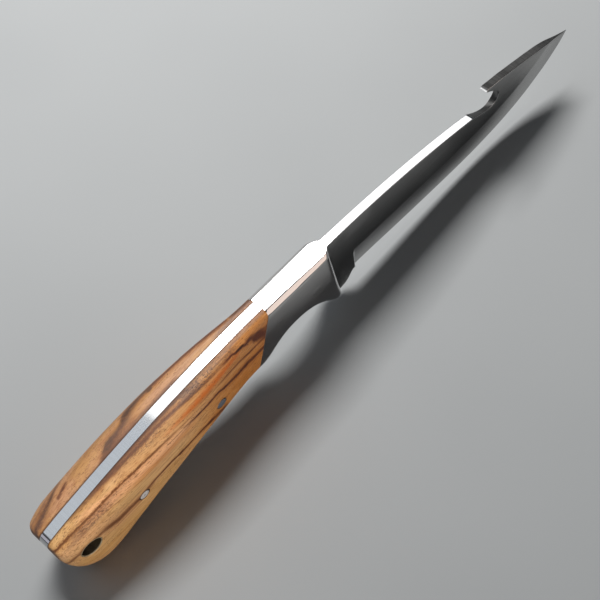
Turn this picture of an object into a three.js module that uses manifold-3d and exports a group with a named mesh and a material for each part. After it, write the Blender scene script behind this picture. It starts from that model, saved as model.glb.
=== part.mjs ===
// A fixed-blade hunting knife with a gut hook, full tang, steel bolsters and
// wooden handle scales. All lengths are in millimetres.
//
// Layout frame used by the tables below: x runs along the knife towards the
// tip, y is across its thickness, z is up towards the back of the blade, and
// (0, 0, 0) is where the back meets the front of the bolsters. The finished
// group is moved so that its origin is the middle of the bottom of its box.
import * as THREE from 'three';
import { mergeVertices } from 'three/addons/utils/BufferGeometryUtils.js';
import Module from 'manifold-3d';

const wasm = await Module();
wasm.setup();
const { Manifold, Mesh: SolidMesh } = wasm;

// ---------------------------------------------------------------- dimensions
const STOCK = 3.2;            // thickness of the blade steel (tang and ricasso)
const HALF = STOCK / 2;
const BOND = 0.05;            // epoxy line between the tang and what is bonded to it
const SEAM = 0.10;            // gap between a bolster and the scale behind it
const PIN_D = 4.0;            // handle pins
const BOLSTER_PIN_D = 3.0;    // peened pins through the bolsters
const FIT = 0.30;             // radial clearance of a pin or the tube in its hole
const TUBE_D = 7.2;           // thong tube, outside
const TUBE_BORE = 6.4;        // thong tube, inside
const BOLSTER_HALF = 4.45;    // half width over the bolsters
const BEVEL_END = 0.12;       // half thickness of the blade at its edge

const PIN_FRONT = [-53.0, -16.45];
const PIN_REAR = [-86.8, -18.5];
const THONG = [-106.7, -18.3];
const BOLSTER_PINS = [[-24.0, -8.5], [-8.0, -12.5]];

// back of the tang and of the blade up to the gut hook (x, z)
const BACK = [[-113.4, -12.75], [-108.3, -11.1], [-102.2, -9.5], [-96.1, -8.0], [-89.9, -6.6],
  [-83.6, -5.3], [-77.3, -4.1], [-70.9, -3.0], [-64.4, -2.1], [-57.8, -1.35], [-51.0, -0.7],
  [-44.1, -0.2], [-37.1, 0.15], [-30.0, 0.33], [-22.0, 0.35], [-12.0, 0.25], [0.0, 0.0],
  [7.4, -0.25], [12.9, -0.45], [18.5, -0.75], [24.2, -1.15], [30.1, -1.65], [36.2, -2.3],
  [42.4, -3.05], [48.8, -3.95], [55.5, -5.0], [62.3, -6.2], [69.5, -7.6], [75.4, -8.9]];

// gut hook: down the ramp, round the gullet and out along the underside of the beak
const HOOK = [[75.4, -8.9], [78.2, -10.05], [81.6, -11.3], [84.6, -12.1], [86.9, -12.25],
  [88.7, -11.45], [89.7, -9.9], [89.7, -8.3], [88.7, -6.6], [87.0, -5.0], [85.0, -3.55],
  [83.1, -2.3], [81.5, -1.35]];
const BEAK = [[81.1, -0.95], [82.2, -0.25]];
// The inside of the hook is ground from the left like a chisel. How much deeper
// the left side of the notch is than the right, one value per point of HOOK.
const HOOK_BEVEL = [0, 0.6, 1.25, 1.7, 1.8, 1.5, 1.1, 0.7, 0.35, 0.15, 0.05, 0, 0];

// top of the point, from the beak to the tip
const POINT_TOP = [[82.2, -0.25], [87.4, -1.15], [91.1, -1.75], [95.0, -2.6], [98.9, -3.4],
  [102.9, -4.3], [107.0, -5.2], [111.2, -6.2], [115.8, -7.4], [120.0, -8.7], [125.0, -10.4],
  [130.0, -12.1], [134.0, -13.4]];

// cutting edge, from the heel to the tip
const EDGE = [[16.2, -29.5], [23.6, -29.9], [29.8, -30.35], [36.1, -30.85], [42.5, -31.3],
  [48.9, -31.75], [55.4, -32.1], [62.0, -32.45], [69.0, -32.75], [75.6, -32.9], [82.2, -32.85],
  [88.8, -32.5], [95.4, -31.85], [101.7, -30.85], [107.7, -29.45], [113.4, -27.6],
  [118.8, -25.2], [123.9, -22.5], [128.6, -19.2], [131.7, -16.4], [134.0, -13.4]];

// upper limit of the ground bevel
const GRIND = [[12.0, -16.6], [20.0, -17.35], [29.0, -17.75], [41.0, -18.4], [53.0, -18.9],
  [66.0, -19.4], [79.0, -19.45], [89.0, -18.85], [98.0, -17.4], [104.0, -15.9], [110.0, -13.6],
  [116.0, -11.0], [121.0, -9.3]];

// choil and ricasso, from the heel of the edge to the guard
const CHOIL = [[16.2, -29.5], [15.0, -28.5], [13.6, -28.3], [12.0, -29.9], [10.4, -31.6],
  [8.6, -32.3], [6.6, -32.5]];

// underside of the bolsters and of the tang between them, from the guard back to the seam
const GROOVE = [[6.6, -32.5], [4.6, -32.4], [2.4, -31.5], [0.2, -29.7], [-2.6, -26.7],
  [-5.4, -24.2], [-8.6, -22.0], [-12.8, -20.3], [-17.2, -19.7], [-21.2, -20.2], [-24.8, -21.9],
  [-28.2, -24.4], [-31.4, -25.9], [-34.8, -26.0]];

// underside of the handle, from the seam to the heel of the butt
const BELLY = [[-34.8, -26.0], [-39.0, -25.4], [-44.0, -25.0], [-50.0, -25.0], [-57.0, -25.7],
  [-64.0, -26.8], [-70.7, -28.1], [-77.4, -29.6], [-84.0, -31.4], [-90.5, -33.6], [-96.5, -35.9],
  [-101.5, -37.1]];

// butt end, from the heel up to the back
const BUTT = [[-101.5, -37.1], [-104.8, -37.0], [-108.2, -35.5], [-111.1, -32.4], [-113.0, -28.4],
  [-114.2, -23.8], [-114.9, -19.0], [-115.05, -15.6], [-114.8, -14.2], [-114.2, -13.25],
  [-113.4, -12.75]];

const SEAM_TOP = [-28.2, 0.34];     // seam between the bolsters and the scales
const SEAM_BOTTOM = [-34.8, -26.0];
const FRONT_TOP = [0, 0];           // front edge of the bolsters, against the blade
const FRONT_BOTTOM = [6.6, -32.5];

// half thickness of the blade over the last stretch, against x
const POINT_HALF = [[112, 1.358], [116.5, 1.31], [120.5, 1.12], [124, 0.82], [127.5, 0.52],
  [131, 0.28], [134, 0.12]];

// half width of the handle at mid height, against x
const WIDTH = [[-116, 9.55], [-106, 9.6], [-97, 9.55], [-87, 9.4], [-80, 9.15], [-71, 8.7],
  [-63, 8.1], [-55, 7.35], [-47, 6.4], [-40, 5.4], [-34, 4.7], [-28, 4.45]];

// edge rounding along the outline: depth measured in from the outline, and width
const ROUND_BACK = [[-116, 5.0, 5.0], [-95, 4.7, 5.0], [-80, 4.4, 4.8], [-60, 3.8, 3.9],
  [-45, 2.7, 2.7], [-34, 1.8, 1.8], [-28, 1.6, 1.55]];
const ROUND_BELLY = [[-116, 7.0, 5.4], [-95, 6.4, 5.2], [-80, 6.0, 5.0], [-60, 5.0, 4.2],
  [-45, 3.6, 3.0], [-34, 2.1, 1.9], [-28, 1.8, 1.6]];
const ROUND_BUTT = [8.5, 4.7];

// ------------------------------------------------------------------- helpers
// natural cubic spline through (t, v) pairs with rising t
function naturalSpline(t, v) {
  const n = t.length, h = [], m = new Array(n).fill(0), c = [], d = [];
  for (let i = 0; i < n - 1; i++) h.push(t[i + 1] - t[i]);
  c[0] = 0; d[0] = 0;
  for (let i = 1; i < n - 1; i++) {
    const r = 6 * ((v[i + 1] - v[i]) / h[i] - (v[i] - v[i - 1]) / h[i - 1]);
    const p = 2 * (h[i - 1] + h[i]) - h[i - 1] * c[i - 1];
    c[i] = h[i] / p; d[i] = (r - h[i - 1] * d[i - 1]) / p;
  }
  for (let i = n - 2; i > 0; i--) m[i] = d[i] - c[i] * m[i + 1];
  return (x) => {
    let i = 0;
    while (i < n - 2 && x > t[i + 1]) i++;
    const a = (t[i + 1] - x) / h[i], b = (x - t[i]) / h[i];
    return a * v[i] + b * v[i + 1] + ((a ** 3 - a) * m[i] + (b ** 3 - b) * m[i + 1]) * h[i] ** 2 / 6;
  };
}

// smooth curve through points, as a function of 0..1 along its chord length
function pathThrough(points) {
  const s = [0];
  for (let i = 1; i < points.length; i++) {
    s.push(s[i - 1] + Math.hypot(points[i][0] - points[i - 1][0], points[i][1] - points[i - 1][1]));
  }
  const fx = naturalSpline(s, points.map((p) => p[0]));
  const fz = naturalSpline(s, points.map((p) => p[1]));
  const end = s[s.length - 1];
  return (u) => [fx(u * end), fz(u * end)];
}

function sampled(path, count) {
  return Array.from({ length: count + 1 }, (_, i) => path(i / count));
}

// straight-line lookup in a table of rows [x, a, b, ...]
function lookup(table, x, column = 1) {
  if (x <= table[0][0]) return table[0][column];
  for (let i = 1; i < table.length; i++) {
    if (x <= table[i][0]) {
      const k = (x - table[i - 1][0]) / (table[i][0] - table[i - 1][0]);
      return table[i - 1][column] + k * (table[i][column] - table[i - 1][column]);
    }
  }
  return table[table.length - 1][column];
}

function smooth(table, column = 1) {
  return naturalSpline(table.map((r) => r[0]), table.map((r) => r[column]));
}

const backZ = smooth(BACK);
const widthAt = smooth(WIDTH);
const line = (a, b) => (u) => [a[0] + (b[0] - a[0]) * u, a[1] + (b[1] - a[1]) * u];

// point on the back between two x values
const backPath = (x0, x1) => (u) => { const x = x0 + (x1 - x0) * u; return [x, backZ(x)]; };

// the closed piece of surface between four edges that meet at their ends
function patch(bottomOf, topOf, startOf, endOf) {
  const p00 = bottomOf(0), p10 = bottomOf(1), p01 = topOf(0), p11 = topOf(1);
  return (u, v) => {
    const b = bottomOf(u), t = topOf(u), s = startOf(v), e = endOf(v);
    return [0, 1].map((k) => (1 - v) * b[k] + v * t[k] + (1 - u) * s[k] + u * e[k]
      - ((1 - u) * (1 - v) * p00[k] + u * (1 - v) * p10[k] + (1 - u) * v * p01[k] + u * v * p11[k]));
  };
}

// nearest point of an outline: distance, and the rounding that holds there
function nearest(outline, x, z) {
  let best = Infinity, hit = null;
  for (let i = 0; i < outline.length - 1; i++) {
    const a = outline[i], b = outline[i + 1];
    const dx = b.x - a.x, dz = b.z - a.z;
    const k = Math.min(1, Math.max(0, ((x - a.x) * dx + (z - a.z) * dz) / (dx * dx + dz * dz)));
    const q = Math.hypot(x - a.x - k * dx, z - a.z - k * dz);
    if (q < best) { best = q; hit = { d: q, depth: a.depth + k * (b.depth - a.depth), width: a.width + k * (b.width - a.width) }; }
  }
  return hit;
}

// share of a rounding's width still missing at a depth d in from the edge
function roundOff(d, depth, power = 2) {
  if (d >= depth) return 0;
  return 1 - (1 - (1 - d / depth) ** power) ** (1 / power);
}

// closed shell over a patch: flat inside face at y0, outside face at y = faceY(x, z, u, v)
function shell(patchOf, us, vs, y0, faceY, side) {
  const pos = [], idx = [], nu = us.length, nv = vs.length;
  const grid = us.map((u) => vs.map((v) => patchOf(u, v)));
  const put = (p, y) => { pos.push(p[0], side * y, p[1]); return pos.length / 3 - 1; };
  const outer = grid.map((row, i) => row.map((p, j) => put(p, faceY(p[0], p[1], us[i], vs[j]))));
  const loop = [];
  for (let i = 0; i < nu - 1; i++) loop.push([i, 0]);
  for (let j = 0; j < nv - 1; j++) loop.push([nu - 1, j]);
  for (let i = nu - 1; i > 0; i--) loop.push([i, nv - 1]);
  for (let j = nv - 1; j > 0; j--) loop.push([0, j]);
  const inner = loop.map(([i, j]) => put(grid[i][j], y0));
  const tri = (a, b, c) => (side > 0 ? idx.push(a, c, b) : idx.push(a, b, c));
  for (let i = 0; i < nu - 1; i++) {
    for (let j = 0; j < nv - 1; j++) {
      tri(outer[i][j], outer[i + 1][j], outer[i + 1][j + 1]);
      tri(outer[i][j], outer[i + 1][j + 1], outer[i][j + 1]);
    }
  }
  for (let k = 0; k < loop.length; k++) {
    const n = (k + 1) % loop.length;
    const a = outer[loop[k][0]][loop[k][1]], b = outer[loop[n][0]][loop[n][1]];
    tri(a, inner[k], inner[n]);
    tri(a, inner[n], b);
  }
  // flat face: one strip between neighbouring columns, and a fan at each end
  const at = new Map(loop.map(([i, j], k) => [i * nv + j, inner[k]]));
  const rim = (i, j) => at.get(i * nv + j);
  for (let i = 1; i < nu - 2; i++) {
    tri(rim(i, 0), rim(i + 1, nv - 1), rim(i + 1, 0));
    tri(rim(i, 0), rim(i, nv - 1), rim(i + 1, nv - 1));
  }
  const mid = Math.floor(nv / 2);
  for (const [end, next, flip] of [[0, 1, false], [nu - 1, nu - 2, true]]) {
    const face = (a, b, c) => (flip ? tri(a, c, b) : tri(a, b, c));
    for (let j = 0; j < nv - 1; j++) face(rim(end, j), rim(end, j + 1), rim(next, j < mid ? 0 : nv - 1));
    face(rim(end, mid), rim(next, nv - 1), rim(next, 0));
  }
  const g = new THREE.BufferGeometry();
  g.setAttribute('position', new THREE.Float32BufferAttribute(pos, 3));
  g.setIndex(idx);
  return g;
}

// plain positions with shared corners, as the solid library wants them
function bare(geometry) {
  const g = geometry.clone();
  for (const name of Object.keys(g.attributes)) if (name !== 'position') g.deleteAttribute(name);
  return mergeVertices(g, 1e-4);
}

function toSolid(geometry) {
  const g = bare(geometry);
  const p = g.attributes.position.array;
  let t = new Uint32Array(g.index.array);
  // turn the triangles round if they face inwards
  let volume = 0;
  for (let i = 0; i < t.length; i += 3) {
    const [a, b, c] = [t[i] * 3, t[i + 1] * 3, t[i + 2] * 3];
    volume += p[a] * (p[b + 1] * p[c + 2] - p[b + 2] * p[c + 1])
      - p[a + 1] * (p[b] * p[c + 2] - p[b + 2] * p[c])
      + p[a + 2] * (p[b] * p[c + 1] - p[b + 1] * p[c]);
  }
  if (volume < 0) for (let i = 0; i < t.length; i += 3) [t[i + 1], t[i + 2]] = [t[i + 2], t[i + 1]];
  return new Manifold(new SolidMesh({ numProp: 3, vertProperties: new Float32Array(p), triVerts: t }));
}

function toGeometry(solid) {
  const m = solid.getMesh();
  const g = new THREE.BufferGeometry();
  g.setAttribute('position', new THREE.Float32BufferAttribute(m.vertProperties, 3));
  g.setIndex(Array.from(m.triVerts));
  return g;
}

// round bar along y through (x, z)
function bar([x, z], radius, y0, y1, sides = 24) {
  const g = new THREE.CylinderGeometry(radius, radius, y1 - y0, sides);
  g.translate(x, (y0 + y1) / 2, z);
  return g;
}

// prism between y0 and y1 of an outline given in x and z
function prism(outline, y0, y1, holes = []) {
  const points = outline.map(([x, z]) => new THREE.Vector2(x, z));
  if (THREE.ShapeUtils.isClockWise(points)) points.reverse();
  const shape = new THREE.Shape(points);
  for (const [x, z, r] of holes) {
    const hole = new THREE.Path();
    hole.absarc(x, z, r, 0, Math.PI * 2, true);
    shape.holes.push(hole);
  }
  const g = new THREE.ExtrudeGeometry(shape, { depth: y1 - y0, bevelEnabled: false, curveSegments: 12 });
  g.rotateX(Math.PI / 2);            // shape y becomes z, depth runs towards -y
  g.translate(0, y1, 0);
  return g;
}

// --------------------------------------------------------------------- blade
const groovePath = pathThrough(GROOVE);
const bellyPath = pathThrough(BELLY);
const buttPath = pathThrough(BUTT);
const edgePath = pathThrough(EDGE);
const hookPath = pathThrough(HOOK);
const pointPath = pathThrough(POINT_TOP);

const outline = [
  ...sampled(backPath(-113.4, 75.4), 64).slice(0, -1),
  ...sampled(hookPath, 26).slice(0, -1),
  HOOK[HOOK.length - 1], BEAK[0],
  ...sampled(pointPath, 20).slice(0, -1),
  ...sampled(edgePath, 44).reverse().slice(0, -1),
  ...sampled(pathThrough(CHOIL), 14).slice(0, -1),
  ...sampled(groovePath, 34).slice(0, -1),
  ...sampled(bellyPath, 22).slice(0, -1),
  ...sampled(buttPath, 24).slice(0, -1),
];

const blank = toSolid(prism(outline, -HALF, HALF, [
  [...PIN_FRONT, PIN_D / 2 + FIT], [...PIN_REAR, PIN_D / 2 + FIT],
  [...THONG, TUBE_D / 2 + FIT],
  [...BOLSTER_PINS[0], BOLSTER_PIN_D / 2 + FIT], [...BOLSTER_PINS[1], BOLSTER_PIN_D / 2 + FIT],
]));

// Everything outside the ground faces on one side: the flat tapers towards the
// point, and below the grind line the bevel runs down to the edge.
const pointTop = smooth(POINT_TOP);
const edgeZ = smooth(EDGE.filter((p, i) => i < EDGE.length - 1));
const grindZ = smooth(GRIND);
function flatHalf(x) {
  if (x < 112) return HALF - 0.002 - 0.24 * (x - 8) / 104;
  return lookup(POINT_HALF, x);
}
function grindCutter(side) {
  const stations = [];
  const xs = [8, 12.6, 13.3];
  for (let x = 17; x <= 133; x += 4.5) xs.push(x);
  xs.push(134, 137);
  for (const x of xs) {
    // the plunge leans forward at the bottom
    const lean = x < 13 ? 1.3 : 2.9 * Math.max(0, 1 - (x - 13.3) / 20);
    const z1 = x < 121 ? grindZ(Math.max(12, x)) : pointTop(Math.min(x, 134)) + 0.4;
    const z2 = x < 131.7 ? edgeZ(Math.max(16.2, x)) : THREE.MathUtils.lerp(-16.4, -13.4, Math.min(1, (x - 131.7) / 2.3));
    const h = flatHalf(x);
    const e = x < 13 ? h : BEVEL_END;
    stations.push([
      [x, h, 6], [x, h, z1], [x + lean, e, z2], [x + lean, e, -40],
      [x, 6, -40], [x, 6, 6],
    ]);
  }
  const pos = [], idx = [], n = 6;
  for (const s of stations) for (const [x, y, z] of s) pos.push(x, side * y, z);
  for (let i = 0; i < stations.length - 1; i++) {
    for (let k = 0; k < n; k++) {
      const a = i * n + k, b = i * n + (k + 1) % n, c = a + n, d = b + n;
      idx.push(a, b, d, a, d, c);
    }
  }
  const cap = (o, flip) => {
    for (const [a, b, c] of [[0, 1, 5], [1, 4, 5], [1, 2, 4], [2, 3, 4]]) {
      if (flip) idx.push(o + a, o + c, o + b); else idx.push(o + a, o + b, o + c);
    }
  };
  cap(0, true);
  cap((stations.length - 1) * n, false);
  const g = new THREE.BufferGeometry();
  g.setAttribute('position', new THREE.Float32BufferAttribute(pos, 3));
  g.setIndex(idx);
  return toSolid(g);
}
// wedge that deepens the left side of the hook's notch
function hookCutter() {
  const n = 40, right = [], left = [];
  const depth = naturalSpline(HOOK.map((_, i) => i), HOOK_BEVEL);
  const s = [0];
  for (let i = 1; i < HOOK.length; i++) s.push(s[i - 1] + Math.hypot(HOOK[i][0] - HOOK[i - 1][0], HOOK[i][1] - HOOK[i - 1][1]));
  const indexAt = naturalSpline(s, HOOK.map((_, i) => i));
  for (let i = 0; i <= n; i++) {
    const u = i / n, [x, z] = hookPath(u);
    const a = hookPath(Math.max(0, u - 0.004)), b = hookPath(Math.min(1, u + 0.004));
    const len = Math.hypot(b[0] - a[0], b[1] - a[1]), nx = (b[1] - a[1]) / len, nz = -(b[0] - a[0]) / len;
    const d = Math.max(0, depth(indexAt(u * s[s.length - 1])));
    // a hair clear of the notch at the right face, so that the two cuts cross cleanly
    right.push([x - nx * 0.02, z - nz * 0.02]);
    left.push([x + nx * (d - 0.02), z + nz * (d - 0.02)]);
  }
  for (const side of [right, left]) side.push([80.2, 0.5], [75.0, 0.5]);
  const shape = right.map(([x, z]) => new THREE.Vector2(x, z));
  const faces = THREE.ShapeUtils.triangulateShape(shape, []);
  const pos = [], idx = [], m = right.length;
  for (const [x, z] of right) pos.push(x, -HALF, z);
  for (const [x, z] of left) pos.push(x, HALF, z);
  for (const [a, b, c] of faces) idx.push(a, b, c, m + a, m + c, m + b);
  for (let i = 0; i < m; i++) {
    const k = (i + 1) % m;
    idx.push(i, m + i, m + k, i, m + k, k);
  }
  const g = new THREE.BufferGeometry();
  g.setAttribute('position', new THREE.Float32BufferAttribute(pos, 3));
  g.setIndex(idx);
  return toSolid(g);
}
const bladeSolid = blank.subtract(grindCutter(1)).subtract(grindCutter(-1)).subtract(hookCutter());

// ------------------------------------------------------- handle and bolsters
function outlineWithRounding(parts) {
  const out = [];
  for (const { points, round } of parts) {
    for (const [x, z] of points) {
      const [depth, width] = round(x, z);
      out.push({ x, z, depth, width });
    }
  }
  return out;
}
const tableRound = (table) => (x) => [lookup(table, x, 1), lookup(table, x, 2)];
// the butt is rounded more softly; the change happens over the last stretch of the back and the belly
const toButt = (table, x0, x1) => (x) => {
  const k = THREE.MathUtils.smoothstep(-x, -x0, -x1);
  return [0, 1].map((i) => (1 - k) * lookup(table, x, i + 1) + k * ROUND_BUTT[i]);
};

const handleOutline = outlineWithRounding([
  { points: sampled(backPath(-20, -113.4), 60), round: toButt(ROUND_BACK, -109, -114.5) },
  { points: sampled(buttPath, 40).reverse(), round: (x, z) => (z > -22 ? toButt(ROUND_BACK, -109, -114.5)(x) : toButt(ROUND_BELLY, -98, -112)(x)) },
  { points: sampled(bellyPath, 40).reverse(), round: tableRound(ROUND_BELLY) },
  { points: sampled(groovePath, 40).reverse().slice(0, 14), round: tableRound(ROUND_BELLY) },
]);

function handleFace(x, z, u, v) {
  const r = nearest(handleOutline, x, z);
  const bulge = 0.35 * (2 * v - 1) ** 2;
  return Math.max(HALF + 0.6, widthAt(x) - bulge - r.width * roundOff(r.d, r.depth, 2));
}

// seam moved back by the gap
const seamAt = (shift) => line([SEAM_TOP[0] - shift, backZ(SEAM_TOP[0] - shift)], [SEAM_BOTTOM[0] - shift, SEAM_BOTTOM[1]]);
const scaleSeam = seamAt(SEAM);
// bottom edge of the scale, from the seam to the heel of the butt, and the butt end itself
const HEEL = 0.32;      // share of the butt curve that belongs to the underside
const bottomPoints = [
  scaleSeam(1),
  ...sampled(bellyPath, 60).slice(1, -1),
  ...sampled(buttPath, 60).filter((_, i) => i / 60 <= HEEL),
];
const TOPCUT = 0.90;    // the last of the butt curve belongs to the back
const butt60 = sampled(buttPath, 60);
const endPoints = butt60.filter((_, i) => i / 60 >= HEEL && i / 60 <= TOPCUT);
const topPoints = [
  scaleSeam(0),
  ...sampled(backPath(SEAM_TOP[0] - SEAM - 1.2, -113.4), 70),
  ...butt60.filter((_, i) => i / 60 >= TOPCUT && i < 60).reverse(),
];
// straight interpolation along a list of points, by length
function along(points) {
  const s = [0];
  for (let i = 1; i < points.length; i++) s.push(s[i - 1] + Math.hypot(points[i][0] - points[i - 1][0], points[i][1] - points[i - 1][1]));
  const end = s[s.length - 1];
  return (u) => {
    const t = Math.min(end, Math.max(0, u * end));
    let i = 0;
    while (i < points.length - 2 && t > s[i + 1]) i++;
    const k = (t - s[i]) / (s[i + 1] - s[i]);
    return [points[i][0] + k * (points[i + 1][0] - points[i][0]), points[i][1] + k * (points[i + 1][1] - points[i][1])];
  };
}

// stations closer together near rounded edges
const span = (n, ease0, ease1) => Array.from({ length: n + 1 }, (_, i) => {
  const t = i / n;
  const a = ease0 ? t ** 2 : t, b = ease1 ? 1 - (1 - t) ** 2 : t;
  return ease0 && ease1 ? (1 - Math.cos(Math.PI * t)) / 2 : (ease0 ? 0.45 * a + 0.55 * t : (ease1 ? 0.45 * b + 0.55 * t : t));
});
const acrossSteps = (steps) => [...steps, ...steps.map((s) => 1 - s).reverse()];
const ACROSS = acrossSteps([0, 0.008, 0.035, 0.08, 0.14, 0.215, 0.34, 0.44]);

const scalePatch = patch(along(bottomPoints), along(topPoints), (v) => scaleSeam(1 - v), along(endPoints));
const scaleUs = [...span(22, false, false).map((u) => u * 0.88), 0.905, 0.93, 0.95, 0.968, 0.982, 0.993, 1];

function drilled(geometry, bars) {
  let solid = toSolid(geometry);
  for (const b of bars) solid = solid.subtract(toSolid(b));
  return toGeometry(solid);
}
function scaleGeometry(side) {
  const g = shell(scalePatch, scaleUs, ACROSS, HALF + BOND, handleFace, side);
  return drilled(g, [
    bar(PIN_FRONT, PIN_D / 2 + FIT, -20, 20), bar(PIN_REAR, PIN_D / 2 + FIT, -20, 20),
    bar(THONG, TUBE_D / 2 + FIT, -20, 20, 32),
  ]);
}

const bolsterSeam = line(SEAM_TOP, SEAM_BOTTOM);
const frontLine = line(FRONT_TOP, FRONT_BOTTOM);
const bolsterOutline = outlineWithRounding([
  { points: sampled(backPath(-40, 2), 30), round: () => [1.6, 1.55] },
]).concat();
const bolsterUnder = outlineWithRounding([
  { points: sampled(groovePath, 60), round: () => [1.8, 1.6] },
  { points: sampled(bellyPath, 60).slice(1, 10), round: () => [1.8, 1.6] },
]);
function bolsterFace(x, z, u, v) {
  const a = nearest(bolsterOutline, x, z), b = nearest(bolsterUnder, x, z);
  const full = BOLSTER_HALF - a.width * roundOff(a.d, a.depth) - b.width * roundOff(b.d, b.depth);
  // distance behind the slanted front edge
  const len = Math.hypot(FRONT_BOTTOM[0], FRONT_BOTTOM[1]);
  const d = Math.max(0, (x * FRONT_BOTTOM[1] - z * FRONT_BOTTOM[0]) / len);
  const rise = 1 - roundOff(d, 3.2, 1.5);
  return HALF + BOND + 0.12 + (full - HALF - BOND - 0.12) * rise;
}
// u runs from the front edge back to the seam, v from the underside to the back
const bolsterPatch = patch(
  along(sampled(groovePath, 80)),
  (u) => { const x = SEAM_TOP[0] * u; return [x, backZ(x)]; },
  (v) => frontLine(1 - v),
  (v) => bolsterSeam(1 - v),
);
const bolsterUs = [0, 0.004, 0.012, 0.025, 0.042, 0.062, 0.088, 0.12, 0.17, 0.23, 0.3, 0.38, 0.46, 0.54, 0.62, 0.7, 0.78, 0.86, 0.93, 1];
const bolsterVs = acrossSteps([0, 0.008, 0.028, 0.055, 0.085, 0.18, 0.32, 0.44]);
function bolsterGeometry(side) {
  const g = shell((u, v) => bolsterPatch(u, v), bolsterUs, bolsterVs, HALF + BOND, bolsterFace, -side);
  return drilled(g, BOLSTER_PINS.map((p) => bar(p, BOLSTER_PIN_D / 2 + FIT, -20, 20)));
}

// ------------------------------------------------------------- pins and tube
const endOf = (p) => handleFace(p[0], p[1], 0, 0.5) + 0.02;
const frontEnd = endOf(PIN_FRONT), rearEnd = endOf(PIN_REAR), tubeEnd = endOf(THONG) - 0.05;

function tubeGeometry() {
  const ro = TUBE_D / 2, ri = TUBE_BORE / 2, L = tubeEnd;
  const profile = [[ri, -L], [ro - 0.15, -L], [ro, -L + 0.15], [ro, L - 0.15], [ro - 0.15, L], [ri, L], [ri, -L]]
    .map(([r, y]) => new THREE.Vector2(r, y));
  const g = new THREE.LatheGeometry(profile, 32);
  g.translate(THONG[0], 0, THONG[1]);
  // the ends are dressed down to the curve of the scales
  const p = g.attributes.position;
  for (let i = 0; i < p.count; i++) {
    const y = p.getY(i);
    const below = L - Math.abs(y);
    p.setY(i, Math.sign(y) * (handleFace(p.getX(i), p.getZ(i), 0, 0.5) - 0.03 - below));
  }
  return g;
}

// ----------------------------------------------------------------- materials
const steel = (color, roughness) => new THREE.MeshStandardMaterial({ color, roughness, metalness: 1 });
const wood = (color) => new THREE.MeshStandardMaterial({ color, roughness: 0.38, metalness: 0 });

const group = new THREE.Group();
function add(name, geometry, material) {
  const solid = toSolid(geometry);
  const mesh = new THREE.Mesh(toGeometry(solid), material);
  mesh.name = name;
  group.add(mesh);
}
add('blade', toGeometry(bladeSolid), steel(0xb9bcc0, 0.25));
add('bolster_left', bolsterGeometry(-1), steel(0xc8cacc, 0.1));
add('bolster_right', bolsterGeometry(1), steel(0xc8cacc, 0.1));
add('scale_left', scaleGeometry(1), wood(0xc08a4e));
add('scale_right', scaleGeometry(-1), wood(0xc9924f));
add('handle_pin_front', bar(PIN_FRONT, PIN_D / 2, -frontEnd, frontEnd), steel(0xa9a9ab, 0.3));
add('handle_pin_rear', bar(PIN_REAR, PIN_D / 2, -rearEnd, rearEnd), steel(0xb4b0ae, 0.3));
add('bolster_pin_front', bar(BOLSTER_PINS[1], BOLSTER_PIN_D / 2, -BOLSTER_HALF, BOLSTER_HALF), steel(0xc8cacc, 0.1));
add('bolster_pin_rear', bar(BOLSTER_PINS[0], BOLSTER_PIN_D / 2, -BOLSTER_HALF, BOLSTER_HALF), steel(0xc8cacc, 0.1));
add('thong_tube', tubeGeometry(), steel(0xcdb98a, 0.3));

// origin at the middle of the bottom of the box
const box = new THREE.Box3().setFromObject(group);
group.position.set(-(box.min.x + box.max.x) / 2, -(box.min.y + box.max.y) / 2, -box.min.z);
group.updateMatrixWorld(true);

export default group;
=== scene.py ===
"""Gut-hook hunting knife: the looks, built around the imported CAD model.

Every piece is modelled here in the part's own design frame, in millimetres (x towards the
point, y to the left, z up to the back of the blade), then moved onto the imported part.
"""

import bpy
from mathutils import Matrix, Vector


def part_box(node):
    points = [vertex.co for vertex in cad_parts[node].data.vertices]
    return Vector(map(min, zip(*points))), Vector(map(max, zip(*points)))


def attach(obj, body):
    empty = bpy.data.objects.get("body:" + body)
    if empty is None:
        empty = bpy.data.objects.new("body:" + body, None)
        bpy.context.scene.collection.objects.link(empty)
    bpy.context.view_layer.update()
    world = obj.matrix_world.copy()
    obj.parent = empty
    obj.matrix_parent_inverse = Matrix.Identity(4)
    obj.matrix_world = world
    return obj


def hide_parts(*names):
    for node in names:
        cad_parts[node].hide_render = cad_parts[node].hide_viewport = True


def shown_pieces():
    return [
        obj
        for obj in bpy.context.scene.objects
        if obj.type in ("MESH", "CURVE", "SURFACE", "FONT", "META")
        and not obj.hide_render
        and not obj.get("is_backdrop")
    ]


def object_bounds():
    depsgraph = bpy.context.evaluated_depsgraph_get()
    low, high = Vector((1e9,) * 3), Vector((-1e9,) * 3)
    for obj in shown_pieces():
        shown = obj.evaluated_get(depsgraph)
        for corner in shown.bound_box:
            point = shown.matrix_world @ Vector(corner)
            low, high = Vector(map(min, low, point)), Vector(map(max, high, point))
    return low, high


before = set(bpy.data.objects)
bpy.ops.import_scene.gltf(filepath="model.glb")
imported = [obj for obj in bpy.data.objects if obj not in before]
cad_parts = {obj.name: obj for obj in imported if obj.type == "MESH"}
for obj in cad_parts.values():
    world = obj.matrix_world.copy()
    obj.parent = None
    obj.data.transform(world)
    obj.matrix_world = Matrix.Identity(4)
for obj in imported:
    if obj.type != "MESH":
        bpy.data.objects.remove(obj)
CAD_BOX = [list(c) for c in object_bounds()]

import math

import bmesh
import bpy
import numpy as np
from mathutils import Matrix, Vector
from mathutils.geometry import delaunay_2d_cdt

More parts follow.
